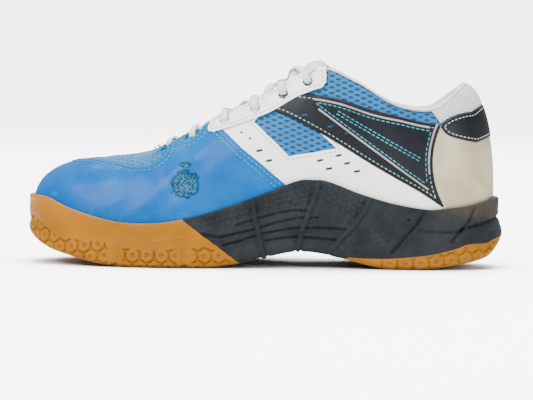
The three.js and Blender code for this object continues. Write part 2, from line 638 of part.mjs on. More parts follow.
// A ring on the surface at offset d, part of the way from the foot bed to the sole's top edge.
const wallRing = (d, share) =>
  columnList.map((i) => {
    const foot = facetPoint(d, i, 0);
    let row = 0;
    for (let round = 0; round < 3; round++) {
      const height = soleTop(facetPoint(d, i, row).x);
      row = rowAtHeight(d, i, THREE.MathUtils.lerp(foot.z, height, share));
    }
    return facetPoint(d, i, row);
  });
const lipOffset = CAVITY + SOLE_LIP;
const soleBody = ladder([
  planRing((i) => overhang(i) - 3, ground),
  planRing((i) => overhang(i) - 0.6, (x) => ground(x) + 1.6),
  planRing(overhang, (x) => ground(x) + 5),
  planRing((i) => 0.45 * overhang(i) + 0.55 * lipOffset, (x) => footBed(x) + 0.5),
  wallRing(lipOffset + 0.2, 0.5),
  wallRing(lipOffset, 1),
]);
const hollowRows = cachedGrid(CAVITY);
const footHollow = ladder([hollowRows[0].map((p) => v3(p.x, p.y, p.z - PLY_GAP)), ...hollowRows.slice(1)]);
const sole = soleBody.subtract(footHollow);

// The forefoot cup ends at a slant; behind it the midsole comes down to the ground.
const slant = (shift) => [
  [-170, -20],
  [-170, 80],
  [-50 + shift, 80],
  [-50 + shift, 28.8],
  [-14 + shift, 2.6],
  [-10 + shift, -20],
];
const coreRings = (extra) => [
  planRing((i) => overhang(i) - RUBBER_WALL - extra, (x) => ground(x) + RUBBER_TREAD + extra),
  planRing(() => CAVITY - extra, footBed),
];
const cupCore = ladder(coreRings(0));
const midsoleCore = ladder(coreRings(PLY_GAP));
const cup = sole.intersect(sidePrism(slant(0))).subtract(cupCore);
piece("outsole_forefoot", biggest(cup), 0xc88a23, 0.5);

const HEEL_RUBBER_FRONT = 48;
const heelRubberTop = [
  [57, 6.8], [76, 7], [95, 8.8], [105, 10.6], [115, 13.2], [122, 15.6], [133, 16.2], [138, 18.2], [152, 24],
];
const heelZone = (lift) =>
  sidePrism([
    [HEEL_RUBBER_FRONT - lift, -20],
    [HEEL_RUBBER_FRONT - lift, 7.6 + lift],
    ...moved(heelRubberTop, 0, lift),
    [152, -20],
  ]);
piece("outsole_heel", biggest(sole.intersect(heelZone(0))), 0xc88a23, 0.5);

// Plates and pods let into the midsole.
const ellipse = (cx, cy, rx, ry, count = 20) =>
  Array.from({ length: count }, (_, i) => {
    const a = (2 * Math.PI * i) / count;
    return [cx + rx * Math.cos(a), cy + ry * Math.sin(a)];
  });
const between = (from, to, low, high) => {
  const xs = [];
  for (let x = from; x <= to; x += 6) xs.push(x);
  return sidePrism([...xs.map((x) => [x, low(x)]), ...xs.slice().reverse().map((x) => [x, high(x)])]);
};
const shankPlan = (grow) => planPrism(ellipse(20, 0, 27 + grow, 19 + grow, 20), -10, 40);
const shankSide = (grow) => between(-14, 52, (x) => ground(x) - 2, (x) => ground(x) + SHANK_THICK + grow);
const SEAT_DROP = 1.3; // of the midsole's seat below the feather line
const seatTop = (x) => footBed(x) - SEAT_DROP;
const podSide = (from, to, thick, grow) =>
  between(from, to, (x) => seatTop(x) - thick - grow, (x) => seatTop(x) + (grow ? 3 : 0));
const forefootPodPlan = (grow) => planPrism(ellipse(-62, 0, 34 + grow, 28 + grow), 0, 60);
const heelPodPlan = (grow) => planPrism(ellipse(92, 0, 27 + grow, 20 + grow), 0, 60);

const underFoot = midsoleCore.intersect(sidePrism(slant(6))).subtract(footHollow);
let midsole = sole.subtract(sidePrism(slant(PLY_GAP * 1.2))).add(underFoot);
midsole = midsole.subtract(heelZone(PLY_GAP));
midsole = midsole.subtract(shankPlan(PLY_GAP).intersect(shankSide(PLY_GAP)));
midsole = midsole.subtract(forefootPodPlan(PLY_GAP).intersect(podSide(-100, -20, FOREFOOT_POD_THICK, PLY_GAP)));
midsole = midsole.subtract(heelPodPlan(PLY_GAP).intersect(podSide(60, 124, HEEL_POD_THICK, PLY_GAP)));
piece("midsole", biggest(midsole), 0x373e42, 0.85);
piece("shank_plate", biggest(sole.intersect(shankPlan(0)).intersect(shankSide(0))), 0x1d2024, 0.3);
const forefootPod = forefootPodPlan(0).intersect(podSide(-100, -20, FOREFOOT_POD_THICK, 0));
piece("forefoot_cushion", forefootPod, 0x7fb8d8, 0.4);
piece("heel_cushion", heelPodPlan(0).intersect(podSide(60, 124, HEEL_POD_THICK, 0)), 0x7fb8d8, 0.4);

// ---------------------------------------------------------------- inside the foot hollow
const boardBase = 0.8 - SEAT_DROP;
const insideRing = (d, rise) => cachedGrid(d)[0].map((p) => v3(p.x, p.y, footBed(p.x) + boardBase + rise));
const boardEdge = LINING.inner - PLY_GAP;
piece("lasting_board", ladder([insideRing(boardEdge, 0), insideRing(boardEdge, STROBEL_THICK)]), 0xe9e4d2);
const linerEdge = LINING.inner - SOCKLINER_CLEARANCE;
const linerBase = STROBEL_THICK + PLY_GAP;
piece(
  "sockliner",
  ladder([
    insideRing(linerEdge, linerBase),
    insideRing(linerEdge, linerBase + 0.6 * SOCKLINER_THICK),
    insideRing(linerEdge - 1.2, linerBase + SOCKLINER_THICK),
  ]),
  0x9aa3a8,
);

// ---------------------------------------------------------------- tongue
// Offset of its face where it lies under the throat's edge.
const TONGUE_FACE = LINING.inner - 2 * LACE_CLEARANCE - LACE_THICK;
const TONGUE_ACROSS = 8;
const TONGUE_TUCK = 9; // how far it reaches in under the throat's edge
// The arc across the shoe at a station: from medial to lateral, sunk below its face by depth.
function tongueArc(station, depth) {
  const column = station * perStation;
  const row = rowBelowEdge(column, TONGUE_TUCK);
  const ends = HALVES.map(({ side }) => facetPoint(TONGUE_FACE - depth, mirrored(column, side), row));
  const rise = HALVES.map(({ side }) => {
    const c = mirrored(column, side);
    return facetPoint(0, c, UP_STEPS).sub(facetPoint(0, c, row)).normalize();
  });
  const reach = 0.42 * ends[0].distanceTo(ends[1]);
  return new THREE.CubicBezierCurve3(
    ends[0],
    ends[0].clone().addScaledVector(rise[0], reach),
    ends[1].clone().addScaledVector(rise[1], reach),
    ends[1],
  );
}
function tonguePoint(station, u, depth) {
  return tongueArc(station, depth).getPoint(u);
}
// A closed solid through sections; each section lists its face from medial to lateral and then its back.
function sectioned(sections) {
  const n = sections[0].length;
  const points = sections.flat();
  const faces = [];
  for (let i = 0; i + 1 < sections.length; i++) {
    for (let j = 0; j < n; j++) {
      const k = (j + 1) % n;
      faces.push([i * n + j, i * n + k, (i + 1) * n + k, (i + 1) * n + j]);
    }
  }
  const half = n / 2;
  for (let j = 0; j + 1 < half; j++) {
    const quad = [j, n - 1 - j, n - 2 - j, j + 1];
    faces.push(quad);
    faces.push([...quad].reverse().map((q) => q + (sections.length - 1) * n));
  }
  const made = solid(faceted(points, faces));
  return made.volume() < 0 ? solid(faceted(points, faces.map((f) => [...f].reverse()))) : made;
}
const tongueSection = (station) => {
  const us = Array.from({ length: TONGUE_ACROSS + 1 }, (_, i) => i / TONGUE_ACROSS);
  const face = us.map((u) => tonguePoint(station, u, 0));
  const back = us.map((u) => tonguePoint(station, u, TONGUE_THICK));
  return [...face, ...back.reverse()];
};
const TONGUE_SPLIT = 7.1;
const lowerStations = [2.2, 2.9, 3.6, 4.3, 5, 5.7, 6.4, TONGUE_SPLIT];
piece("tongue_lower", sectioned(lowerStations.map(tongueSection)), 0x1d8fd6);

// The free top of the tongue: narrow between the eyestays, spreading above them.
const acrossTongue = Array.from({ length: TONGUE_ACROSS + 1 }, (_, i) => i / TONGUE_ACROSS);
// Narrow enough to pass the eyestays, and cut back at the sides so that it can fold inwards.
function narrowSection(station, cutBack) {
  const wide = tonguePoint(station, 0, 0).y - tonguePoint(station, 1, 0).y;
  const share = clamp((2 * TONGUE_TOP_HALF_WIDTH) / Math.abs(wide), 0, 1);
  const u = (v) => 0.5 + (v - 0.5) * share * 0.97;
  const at = (v) => station + cutBack * (2 * v - 1) ** 2;
  const face = acrossTongue.map((v) => tonguePoint(at(v), u(v), 0));
  const back = acrossTongue.map((v) => tonguePoint(at(v) + 0.3 * cutBack, u(v), TONGUE_THICK));
  return [...face, ...back.reverse()];
}
function flaredSection(crown, wing, half, back) {
  const at = (v, inset) => {
    const bow = (2 * v - 1) ** 2;
    const x = THREE.MathUtils.lerp(crown[0], wing[0], bow) * lengthScale;
    const z = THREE.MathUtils.lerp(crown[1], wing[1], bow);
    const y = (2 * v - 1) * (half - 0.4 * inset) * GIRTH_GRADE;
    return v3(x, y, gradeHeight(x, z)).addScaledVector(v3(back[0], 0, back[1]).normalize(), inset);
  };
  return [...acrossTongue.map((v) => at(v, 0)), ...acrossTongue.map((v) => at(v, TONGUE_THICK)).reverse()];
}
const topSections = [
  narrowSection(TONGUE_SPLIT + 0.09, 0.22),
  narrowSection(TONGUE_SPLIT + 0.25, 0.3),
  flaredSection([25.6, 121.6], [33.5, 117.4], TONGUE_TOP_HALF_WIDTH + 0.5, [4, -3]),
  flaredSection([26.6, 124.2], [37.5, 122.6], TONGUE_TOP_HALF_WIDTH + 2.5, [3, -1]),
];
piece("tongue_top", sectioned(topSections), 0x1d8fd6);

// ---------------------------------------------------------------- lace
// A line through given places, with the lace's flat side at each; it is sampled exactly at them.
class LaceLine extends THREE.Curve {
  constructor(places) {
    super();
    this.places = places;
  }
  getPoint(t) {
    const at = clamp(t, 0, 1) * (this.places.length - 1);
    const low = Math.min(Math.floor(at), this.places.length - 2);
    return this.places[low].p.clone().lerp(this.places[low + 1].p, at - low);
  }
  getSpacedPoints(steps) {
    return Array.from({ length: steps + 1 }, (_, i) => this.getPoint(i / steps));
  }
  computeFrenetFrames(steps) {
    const points = this.getSpacedPoints(steps);
    const tangents = points.map((p, i) => {
      const a = points[Math.max(i - 1, 0)];
      const b = points[Math.min(i + 1, steps)];
      return b.clone().sub(a).normalize();
    });
    const normals = [];
    const binormals = [];
    points.forEach((p, i) => {
      const flat = this.places[i].flat.clone();
      if (i > 0 && flat.dot(normals[i - 1]) < 0) flat.negate();
      const binormal = tangents[i].clone().cross(flat).normalize();
      normals.push(binormal.clone().cross(tangents[i]).normalize());
      binormals.push(binormal);
    });
    return { tangents, normals, binormals };
  }
}
const above = OVERLAY.outer + LACE_CLEARANCE + LACE_THICK / 2 + 0.2;
const below = LINING.inner - LACE_CLEARANCE - LACE_THICK / 2;
const outward = (column, row) => facetPoint(1, column, row).sub(facetPoint(0, column, row)).normalize();
const onLayer = (offset, column, row) => ({ p: facetPoint(offset, column, row), flat: outward(column, row) });

// From under eyelet k on one side to under eyelet k + 1 on the other.
function crossing(k, side, lift) {
  const from = EYELETS[k];
  const to = EYELETS[k + 1];
  const a = mirrored(from.column, side);
  const b = mirrored(to.column, -side);
  const inward = (column, row) =>
    facetPoint(0, column, row + 0.3)
      .sub(facetPoint(0, column, row - 0.3))
      .normalize();
  const places = [
    onLayer(below, a, from.row),
    { p: facetPoint(0.2, a, from.row), flat: inward(a, from.row) },
    onLayer(above, a, from.row + 0.12),
    onLayer(above, a, UP_STEPS),
  ];
  const station = (u) => THREE.MathUtils.lerp(from.column, to.column, u) / perStation;
  const rises = [[0.24, 4.2], [0.5, 0], [0.76, 2]];
  for (const [u, rise] of rises) {
    const across = side < 0 ? u : 1 - u;
    const base = tonguePoint(station(u), across, 0);
    const deep = tonguePoint(station(u), across, TONGUE_THICK);
    const up = base.clone().sub(deep).normalize();
    const height = u === 0.5 ? lift : rise;
    places.push({ p: base.addScaledVector(up, LACE_CLEARANCE + LACE_THICK / 2 + height), flat: up });
  }
  places.push(onLayer(below - 0.1, b, UP_STEPS + 0.25));
  return places;
}
function laceHalf(side) {
  const places = [onLayer(below - 0.1, mirrored(EYELETS[0].column, side), UP_STEPS + 0.25)];
  for (let k = 0; k + 1 < EYELETS.length; k++) {
    const direction = k % 2 ? -side : side;
    places.push(...crossing(k, direction, direction < 0 ? 0.3 : 2.9));
  }
  const last = EYELETS[EYELETS.length - 1];
  const c = mirrored(last.column, (EYELETS.length - 1) % 2 ? -side : side);
  const end = mirrored(last.column + 0.7, (EYELETS.length - 1) % 2 ? -side : side);
  const upward = facetPoint(0, c, UP_STEPS).sub(facetPoint(0, c, UP_STEPS - 1)).normalize();
  places.push(onLayer(below, c, last.row));
  places.push({ p: facetPoint(0.2, c, last.row), flat: upward });
  places.push(onLayer(above, c, last.row + 0.15));
  const over = facetPoint(0, (2 * c + end) / 3, UP_STEPS).addScaledVector(upward, LACE_THICK / 2 + 1.4);
  places.push(onLayer(above, c, UP_STEPS));
  places.push({ p: over, flat: upward });
  const inside = facetPoint(below - 0.3, end, UP_STEPS).addScaledVector(upward, 1);
  places.push({ p: inside, flat: outward(end, UP_STEPS) });
  [7.6, 7, 6.4, 5.8].forEach((row, i) => places.push(onLayer(below - 0.3 - 0.25 * i * i, end, row)));
  return places;
}
const barCentre = tonguePoint(EYELETS[0].column / perStation, 0.5, 0);
const barUp = barCentre.clone().sub(tonguePoint(EYELETS[0].column / perStation, 0.5, TONGUE_THICK)).normalize();
const bar = { p: barCentre.addScaledVector(barUp, LACE_CLEARANCE + LACE_THICK / 2), flat: barUp };
const lacePlaces = [...laceHalf(-1).reverse(), bar, ...laceHalf(1)];
const oval = new THREE.Shape(
  Array.from({ length: 8 }, (_, i) => {
    const a = (2 * Math.PI * (i + 0.5)) / 8;
    return new THREE.Vector2((LACE_THICK / 2) * Math.cos(a), (LACE_WIDTH / 2) * Math.sin(a));
  }),
);
const laceGeometry = new THREE.ExtrudeGeometry(oval, {
  steps: lacePlaces.length - 1,
  extrudePath: new LaceLine(lacePlaces),
  bevelEnabled: false,
});
const lace = solid(laceGeometry);
piece("lace", lace, 0xf2f2ee, 0.9);
for (const { name, side } of HALVES) {
  const ends = side < 0 ? lacePlaces.slice(-2) : lacePlaces.slice(0, 2).reverse();
  const run = ends[1].p.clone().sub(ends[0].p).normalize();
  const start = ends[1].p.clone().addScaledVector(run, PLY_GAP);
  const tube = new THREE.CylinderGeometry(1.1, 1.3, 14, 8);
  tube.applyQuaternion(new THREE.Quaternion().setFromUnitVectors(v3(0, 1, 0), run));
  const middle = start.addScaledVector(run, 7);
  tube.translate(middle.x, middle.y, middle.z);
  piece(`aglet_${name}`, solid(tube), 0xe8e8e8, 0.3);
}

// ---------------------------------------------------------------- the assembly, centred over its footprint
const everything = wasm.Manifold.compose(nodes.map(({ made }) => made)).boundingBox();
const shift = [
  -(everything.min[0] + everything.max[0]) / 2,
  -(everything.min[1] + everything.max[1]) / 2,
  -everything.min[2],
];
const shoe = new THREE.Group();
shoe.name = "court_shoe";
for (const { name, made, color, roughness } of nodes) {
  const material = new THREE.MeshStandardMaterial({ color, roughness, metalness: 0 });
  const mesh = new THREE.Mesh(geometryOf(made.translate(shift)), material);
  mesh.name = name;
  shoe.add(mesh);
}
export default shoe;
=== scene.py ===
# %% [markdown]
# # A court shoe, made in layers
# A shoe's upper is sewn flat and then pulled over a last, the foot-shaped form that gives it
# its shape. So this file first makes that one smooth form, and then lays every cloth, panel,
# thread and lace on it at its own height, as a shoemaker would. The frame file brings in the
# measured solids, and their places are kept.

# %% load the frame
import math
import bpy
import numpy as np
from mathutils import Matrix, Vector
from mathutils.geometry import delaunay_2d_cdt
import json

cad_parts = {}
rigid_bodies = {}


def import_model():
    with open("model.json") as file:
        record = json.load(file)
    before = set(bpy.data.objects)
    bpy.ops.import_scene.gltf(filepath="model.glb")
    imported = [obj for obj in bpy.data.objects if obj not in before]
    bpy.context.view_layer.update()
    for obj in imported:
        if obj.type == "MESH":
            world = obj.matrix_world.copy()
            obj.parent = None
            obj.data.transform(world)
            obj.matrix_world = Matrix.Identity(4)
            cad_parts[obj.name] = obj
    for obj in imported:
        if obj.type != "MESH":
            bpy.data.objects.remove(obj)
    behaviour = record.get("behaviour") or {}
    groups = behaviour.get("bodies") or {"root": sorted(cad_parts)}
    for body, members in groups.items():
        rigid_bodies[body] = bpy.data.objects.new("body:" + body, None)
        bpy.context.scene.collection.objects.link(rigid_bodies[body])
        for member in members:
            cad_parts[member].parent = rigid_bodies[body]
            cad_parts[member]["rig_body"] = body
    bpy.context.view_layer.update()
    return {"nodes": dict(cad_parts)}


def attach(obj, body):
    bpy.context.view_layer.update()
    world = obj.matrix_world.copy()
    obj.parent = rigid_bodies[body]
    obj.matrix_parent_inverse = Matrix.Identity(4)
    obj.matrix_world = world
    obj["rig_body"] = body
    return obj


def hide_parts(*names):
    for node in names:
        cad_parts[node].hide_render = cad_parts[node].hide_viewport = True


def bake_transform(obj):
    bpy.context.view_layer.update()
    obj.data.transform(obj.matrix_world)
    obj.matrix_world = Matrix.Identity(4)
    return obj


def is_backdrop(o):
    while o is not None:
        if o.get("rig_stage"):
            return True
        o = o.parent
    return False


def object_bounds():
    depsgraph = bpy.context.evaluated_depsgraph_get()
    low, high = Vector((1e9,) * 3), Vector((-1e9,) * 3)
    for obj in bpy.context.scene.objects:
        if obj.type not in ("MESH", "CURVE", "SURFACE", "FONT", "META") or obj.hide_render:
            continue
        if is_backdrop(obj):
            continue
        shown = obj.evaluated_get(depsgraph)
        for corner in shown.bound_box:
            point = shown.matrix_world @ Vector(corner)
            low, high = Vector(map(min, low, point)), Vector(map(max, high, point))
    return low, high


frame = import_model()
for chosen in list(bpy.context.selected_objects):
    chosen.select_set(False)

# %% [markdown]
# ## The last
# The form is a net of ribs. Each rib starts on the feather line, where upper and sole meet,
# swells outwards, and ends on the throat or collar edge. Four smooth closed curves run
# round the shoe through the ribs' control points, and a rib is the Bezier curve between them.
# A mesh primitive can't give this shape, so it is worked out as numbers, in millimetres.

# %% the station table, toe to heel
# foot: x, y medial, x, y lateral.  top: x, y, z.  low and high: how a rib leaves and arrives.
STATIONS = [
    ((-136, -5, -136, -5), (-66, 0, 65.5), (-8, 0, 31), (-54, 0, 62)),
    ((-129, -23, -128, 12), (-64.5, 7.5, 66), (-6.5, 5, 30), (-48, 12.5, 62.5)),
    ((-110, -36.5, -108, 29), (-60, 11.5, 68.5), (-3, 5, 26), (-27, 17.2, 63.6)),
    ((-84, -43, -83, 41), (-51, 14, 74), (0, 5, 22), (-13, 17, 68)),
    ((-56, -45, -56, 46), (-36.5, 16, 82.5), (0, 4, 24), (-7, 16, 75)),
    ((-26, -41, -26, 45), (-18.5, 17.5, 91.5), (1, 4, 27), (-2, 14, 82)),
    ((4, -35.5, 4, 41), (0.5, 19, 101.5), (1, 4, 31), (1, 12, 90)),
    ((30, -32, 30, 37.5), (19, 21, 114), (0, 5, 34), (3, 10, 99)),
    ((52, -31, 52, 35), (35, 25, 119.5), (-1, 5, 36), (6, 6, 102)),
    ((74, -31.5, 74, 34), (53, 29.5, 112), (-2, 5, 34), (9, 5, 97)),
    ((96, -31, 96, 32.5), (76, 32, 98), (-1, 6, 30), (11, 5, 87)),
    ((116, -26, 116, 27), (98, 28, 95), (2, 6, 31), (11, 5, 88)),
    ((130, -15, 130, 15.5), (112, 17.5, 104), (3, 3, 33), (12, 3, 100)),
    ((135.5, 0, 135.5, 0), (118.5, 0, 109.5), (4, 0, 35), (13, 0, 108)),
]
ROUND = 2 * (len(STATIONS) - 1)     # stations once round the shoe
# what centres the model over its footprint
PLACE = np.array([-0.75193, 0.20671, 0.0])
print(len(STATIONS), "stations,", ROUND, "ribs round the shoe")

# %% smooth lines through given points
def soft_line(pairs, per=8):
    """A smooth open line through points, as an array."""
    pts = np.array(pairs, float)
    n = len(pts)
    out = []
    for k in np.linspace(0, n - 1, (n - 1) * per + 1):
        i = min(int(k), n - 2)
        w = k - i
        p0, p1 = pts[max(i - 1, 0)], pts[i]
        p2, p3 = pts[i + 1], pts[min(i + 2, n - 1)]
        v0, v1 = (p2 - p0) / 2, (p3 - p1) / 2
        out.append((2 * p1 - 2 * p2 + v0 + v1) * w**3 + (3 * p2 - 3 * p1 - 2 * v0 - v1) * w**2 + v0 * w + p1)
    return np.array(out)


def height_over_x(pairs):
    line = soft_line(pairs)
    return lambda x: np.interp(x, line[:, 0], line[:, 1])


foot_bed = height_over_x([(-137, 25), (-118, 19.5), (-95, 16), (-60, 14), (-20, 15.5), (20, 19.5),
                          (60, 23.5), (100, 26), (137, 27.5)])
sole_top = height_over_x([(-141, 40.5), (-134, 40.3), (-129, 39), (-119.5, 34.7), (-110, 31.5),
                          (-95.5, 27.6), (-84, 25.8), (-71.5, 25.6), (-57, 26.8), (-38, 31), (-19, 37),
                          (0, 44), (19, 51.6), (29, 52.3), (38, 51.3), (57, 44.2), (77, 38.5), (96, 35.3),
                          (105, 35.5), (120, 37), (132, 39.5), (140, 42)])
ground_line = height_over_x([(-143, 18), (-136, 13.2), (-127, 9), (-117, 6.2), (-107, 3.5), (-97, 1.6),
                             (-88, 0.3), (-78, 0), (-50, 0), (-33, 0.2), (-24, 1.6), (-14, 3.2), (-4, 5.6),
                             (5, 7.5), (15, 9.6), (24, 10), (34, 8.9), (43, 6.9), (53, 4.6), (62, 2.4),
                             (72, 0.6), (80, 0), (92, 0), (105, 1.3), (115, 3.1), (125, 4.8), (134, 7.6),
                             (139, 11.5), (144, 17.5)])
ground = lambda x: np.maximum(ground_line(x), 0)
print("foot bed at the ball and heel:", round(float(foot_bed(-60)), 1), round(float(foot_bed(110)), 1))

# %% the four rings that the ribs hang on
def control_rings():
    rings = [[], [], [], []]
    last = len(STATIONS) - 1
    for i in range(2 * last):
        medial = i <= last
        foot, top, low, high = STATIONS[i if medial else 2 * last - i]
        side = -1 if medial else 1
        x, y = (foot[0], foot[1]) if medial else (foot[2], foot[3])
        bed = float(foot_bed(x))
        edge = (top[0], side * top[1], top[2])
        rings[0].append((x, y, bed))
        rings[1].append((x + low[0], y + side * low[1], bed + low[2]))
        rings[2].append((edge[0] + high[0], edge[1] + side * high[1], high[2]))
        rings[3].append(edge)
    return [np.array(r, float) for r in rings]


def round_ring(pts, places):
    """Points of a closed centripetal Catmull-Rom curve, at places counted in stations."""
    n = len(pts)
    out = []
    for place in places:
        i = int(math.floor(place))
        w = place - i
        p0, p1, p2, p3 = (pts[(i + k) % n] for k in (-1, 0, 1, 2))
        d0, d1, d2 = (max(np.linalg.norm(b - a), 1e-6) ** 0.5 for a, b in ((p0, p1), (p1, p2), (p2, p3)))
        m1 = ((p1 - p0) / d0 - (p2 - p0) / (d0 + d1) + (p2 - p1) / d1) * d1
        m2 = ((p2 - p1) / d1 - (p3 - p1) / (d1 + d2) + (p3 - p2) / d2) * d1
        out.append(p1 + m1 * w + (3 * p2 - 3 * p1 - 2 * m1 - m2) * w**2 + (2 * p1 - 2 * p2 + m1 + m2) * w**3)
    return np.array(out)


PER = 24                            # columns of the net between two stations
UP = 100                            # rows of the net from feather line to edge
COLS = ROUND * PER
RINGS = control_rings()
places = np.arange(COLS) / PER
A, B, C, D = (round_ring(r, places) for r in RINGS)
t = np.linspace(0, 1, UP + 1)[:, None, None]
NET = A * (1 - t)**3 + 3 * B * (1 - t)**2 * t + 3 * C * (1 - t) * t**2 + D * t**3
print("net of the last:", NET.shape[:2])

# %% outward directions, and a way to ask for any point
east = np.roll(NET, -1, axis=1) - np.roll(NET, 1, axis=1)
north = np.gradient(NET, axis=0)
OUT = np.cross(east, north)
OUT /= np.linalg.norm(OUT, axis=2, keepdims=True)


def soft_bump(x, centre, width):
    return np.exp(-((x - centre) / width) ** 2)


def creases(p):
    """How far worn leather stands in or out where the toes bend it, in mm."""
    x, y, z = p[..., 0], p[..., 1], p[..., 2]
    side = np.clip(np.abs(y) / 45, 0, 1)
    flex = soft_bump(x, -62, 34) * np.clip((z - 20) / 25, 0, 1)
    fold = 0.75 * np.sin((x + 0.55 * z + 4 * np.sin(y / 17)) / 4.6) * soft_bump(x + 0.5 * z, -30, 22)
    ripple = 0.3 * np.sin((x * 0.9 - 0.8 * z + 6 * np.sin(y / 13)) / 3.1)
    sag = 0.5 * np.sin((x + 1.3 * z) / 15 + 1.2) * soft_bump(x, 10, 60)
    return flex * (fold * (0.35 + 0.65 * side) + ripple) + sag * side


NET = NET + OUT * creases(NET)[..., None]


def sample(table, s, t):
    """Reads a net table at s, once round is 1, and t, feather line 0 and edge 1."""
    u = (np.asarray(s, float) % 1.0) * COLS
    v = np.clip(np.asarray(t, float), 0, 1) * UP
    i0 = np.floor(u).astype(int) % COLS
    i1 = (i0 + 1) % COLS
    j0 = np.clip(np.floor(v).astype(int), 0, UP - 1)
    fu = (u - np.floor(u))[..., None]
    fv = (v - j0)[..., None]
    low = table[j0, i0] * (1 - fu) + table[j0, i1] * fu
    high = table[j0 + 1, i0] * (1 - fu) + table[j0 + 1, i1] * fu
    return low * (1 - fv) + high * fv


def skin(s, t, lift):
    """A point lifted off the last by so many mm; past the edge it goes straight on."""
    s, t = np.broadcast_arrays(np.asarray(s, float), np.asarray(t, float))
    base, out = sample(NET, s, t), sample(OUT, s, t)
    over = np.maximum(t - 1, 0)[..., None]
    up = (sample(NET, s, np.full(t.shape, 1.0)) - sample(NET, s, np.full(t.shape, 0.97))) / 0.03
    return base + up * over + out * np.asarray(lift, float)[..., None]


print("one point on the heel, mm:", skin(0.5, 0.5, 1.0).round(1))

# %% from a side view to the last
def on_side(points, side, lift=1.5):
    """Finds (s, t) for side-view points [x, z]; side is -1 for medial and 1 for lateral."""
    half = COLS // 2
    cols = np.arange(0, half + 1) if side < 0 else np.arange(half, COLS + 1)
    grid_s = cols / COLS
    grid_t = np.linspace(0, 1, UP + 1)
    ss, tt = np.meshgrid(grid_s, grid_t)
    xyz = skin(ss, tt, np.full(ss.shape, lift))
    flat = xyz[..., [0, 2]].reshape(-1, 2)
    found = []
    for x, z in np.asarray(points, float):
        k = int(np.argmin((flat[:, 0] - x) ** 2 + (flat[:, 1] - z) ** 2))
        s, t0 = ss.ravel()[k], tt.ravel()[k]
        for _ in range(4):
            e = 1e-3
            here, by_s, by_t = skin([s, s + e, s], [t0, t0, min(t0 + e, 1)], [lift] * 3)
            if t0 + e > 1:
                by_t = here * 2 - skin(s, t0 - e, lift)
            j = np.array([(by_s - here)[[0, 2]], (by_t - here)[[0, 2]]]).T / e
            step = np.linalg.lstsq(j, np.array([x, z]) - here[[0, 2]], rcond=None)[0]
            s += float(np.clip(step[0], -0.01, 0.01))
            t0 = float(np.clip(t0 + np.clip(step[1], -0.06, 0.06), 0, 1))
        found.append((s if side < 0 else s - 1, t0))
    return np.array(found)


def below_edge(s, distance):
    """The t that lies a distance in mm below the throat or collar edge."""
    rows = np.linspace(1, 0.5, 60)
    pts = skin(np.full(60, s), rows, np.zeros(60))
    run = np.concatenate([[0], np.cumsum(np.linalg.norm(np.diff(pts, axis=0), axis=1))])
    return float(np.interp(distance, run, rows))


print("side-view point found at", on_side([(0, 60)], -1).round(3))

# %% [markdown]
# ## Making a panel
# A cut panel is a flat piece with a clean outline. Here its outline is drawn on the last, the
# inside is filled with even triangles, and its edge is rolled down a little, as a cut and
# pressed edge is. Its thickness comes from a Solidify modifier, and then it is stitched.

# %% helpers for outlines
MM = 0.001
A_MM, B_MM = ROUND * 23.0, 95.0     # rough size of the net when it is laid out flat


def spaced(loop, step, closed=True):
    """The same line with even steps of so many mm along the last."""
    pts = np.asarray(loop, float)
    if closed:
        pts = np.vstack([pts, pts[:1]])
    fine = [pts[0]]
    for a, b in zip(pts[:-1], pts[1:]):
        n = max(2, int(np.hypot((b - a)[0] * A_MM, (b - a)[1] * B_MM) / 1.5) + 1)
        fine += [a + (b - a) * k / n for k in range(1, n + 1)]
    fine = np.array(fine)
    xyz = skin(fine[:, 0], fine[:, 1], np.ones(len(fine)))
    run = np.concatenate([[0], np.cumsum(np.linalg.norm(np.diff(xyz, axis=0), axis=1))])
    count = max(8, int(run[-1] / step))
    at = np.linspace(0, run[-1], count + 1)
    out = np.column_stack([np.interp(at, run, fine[:, k]) for k in (0, 1)])
    return out[:-1] if closed else out


def shifted(line, inset, closed=False, lift=1.5):
    """Moves a line on the last sideways by so many mm, to the left of its run."""
    line = np.asarray(line, float)
    xyz = skin(line[:, 0], line[:, 1], np.full(len(line), lift))
    along = np.roll(xyz, -1, 0) - np.roll(xyz, 1, 0) if closed else np.gradient(xyz, axis=0)
    out = sample(OUT, line[:, 0], line[:, 1])
    left = np.cross(out, along)
    left /= np.maximum(np.linalg.norm(left, axis=1, keepdims=True), 1e-9)
    e = 2e-3
    tt = np.clip(line[:, 1], 0, 1 - e)
    by_s = (skin(line[:, 0] + e, tt, np.full(len(line), lift))
            - skin(line[:, 0], tt, np.full(len(line), lift))) / e
    by_t = (skin(line[:, 0], tt + e, np.full(len(line), lift))
            - skin(line[:, 0], tt, np.full(len(line), lift))) / e
    move = []
    for a, b, w in zip(by_s, by_t, left):
        move.append(np.linalg.lstsq(np.column_stack([a, b]), w, rcond=None)[0])
    return line + np.array(move) * np.asarray(inset, float).reshape(-1, 1)


def inside(points, loop):
    """Which points lie inside a closed loop."""
    x, y = points[:, 0], points[:, 1]
    hit = np.zeros(len(points), bool)
    for (x0, y0), (x1, y1) in zip(loop, np.roll(loop, -1, 0)):
        if y0 == y1:
            continue
        cross = ((y > y0) != (y > y1)) & (x < (x1 - x0) * (y - y0) / (y1 - y0) + x0)
        hit ^= cross
    return hit


def away(points, others, block=400):
    """Distance from each point to the nearest of the others."""
    best = np.full(len(points), 1e9)
    for k in range(0, len(others), block):
        d = np.linalg.norm(points[:, None, :] - others[None, k:k + block, :], axis=2)
        best = np.minimum(best, d.min(axis=1))
    return best


print("helpers ready")

# %% the panel maker
MADE = {}
EDGES = {}


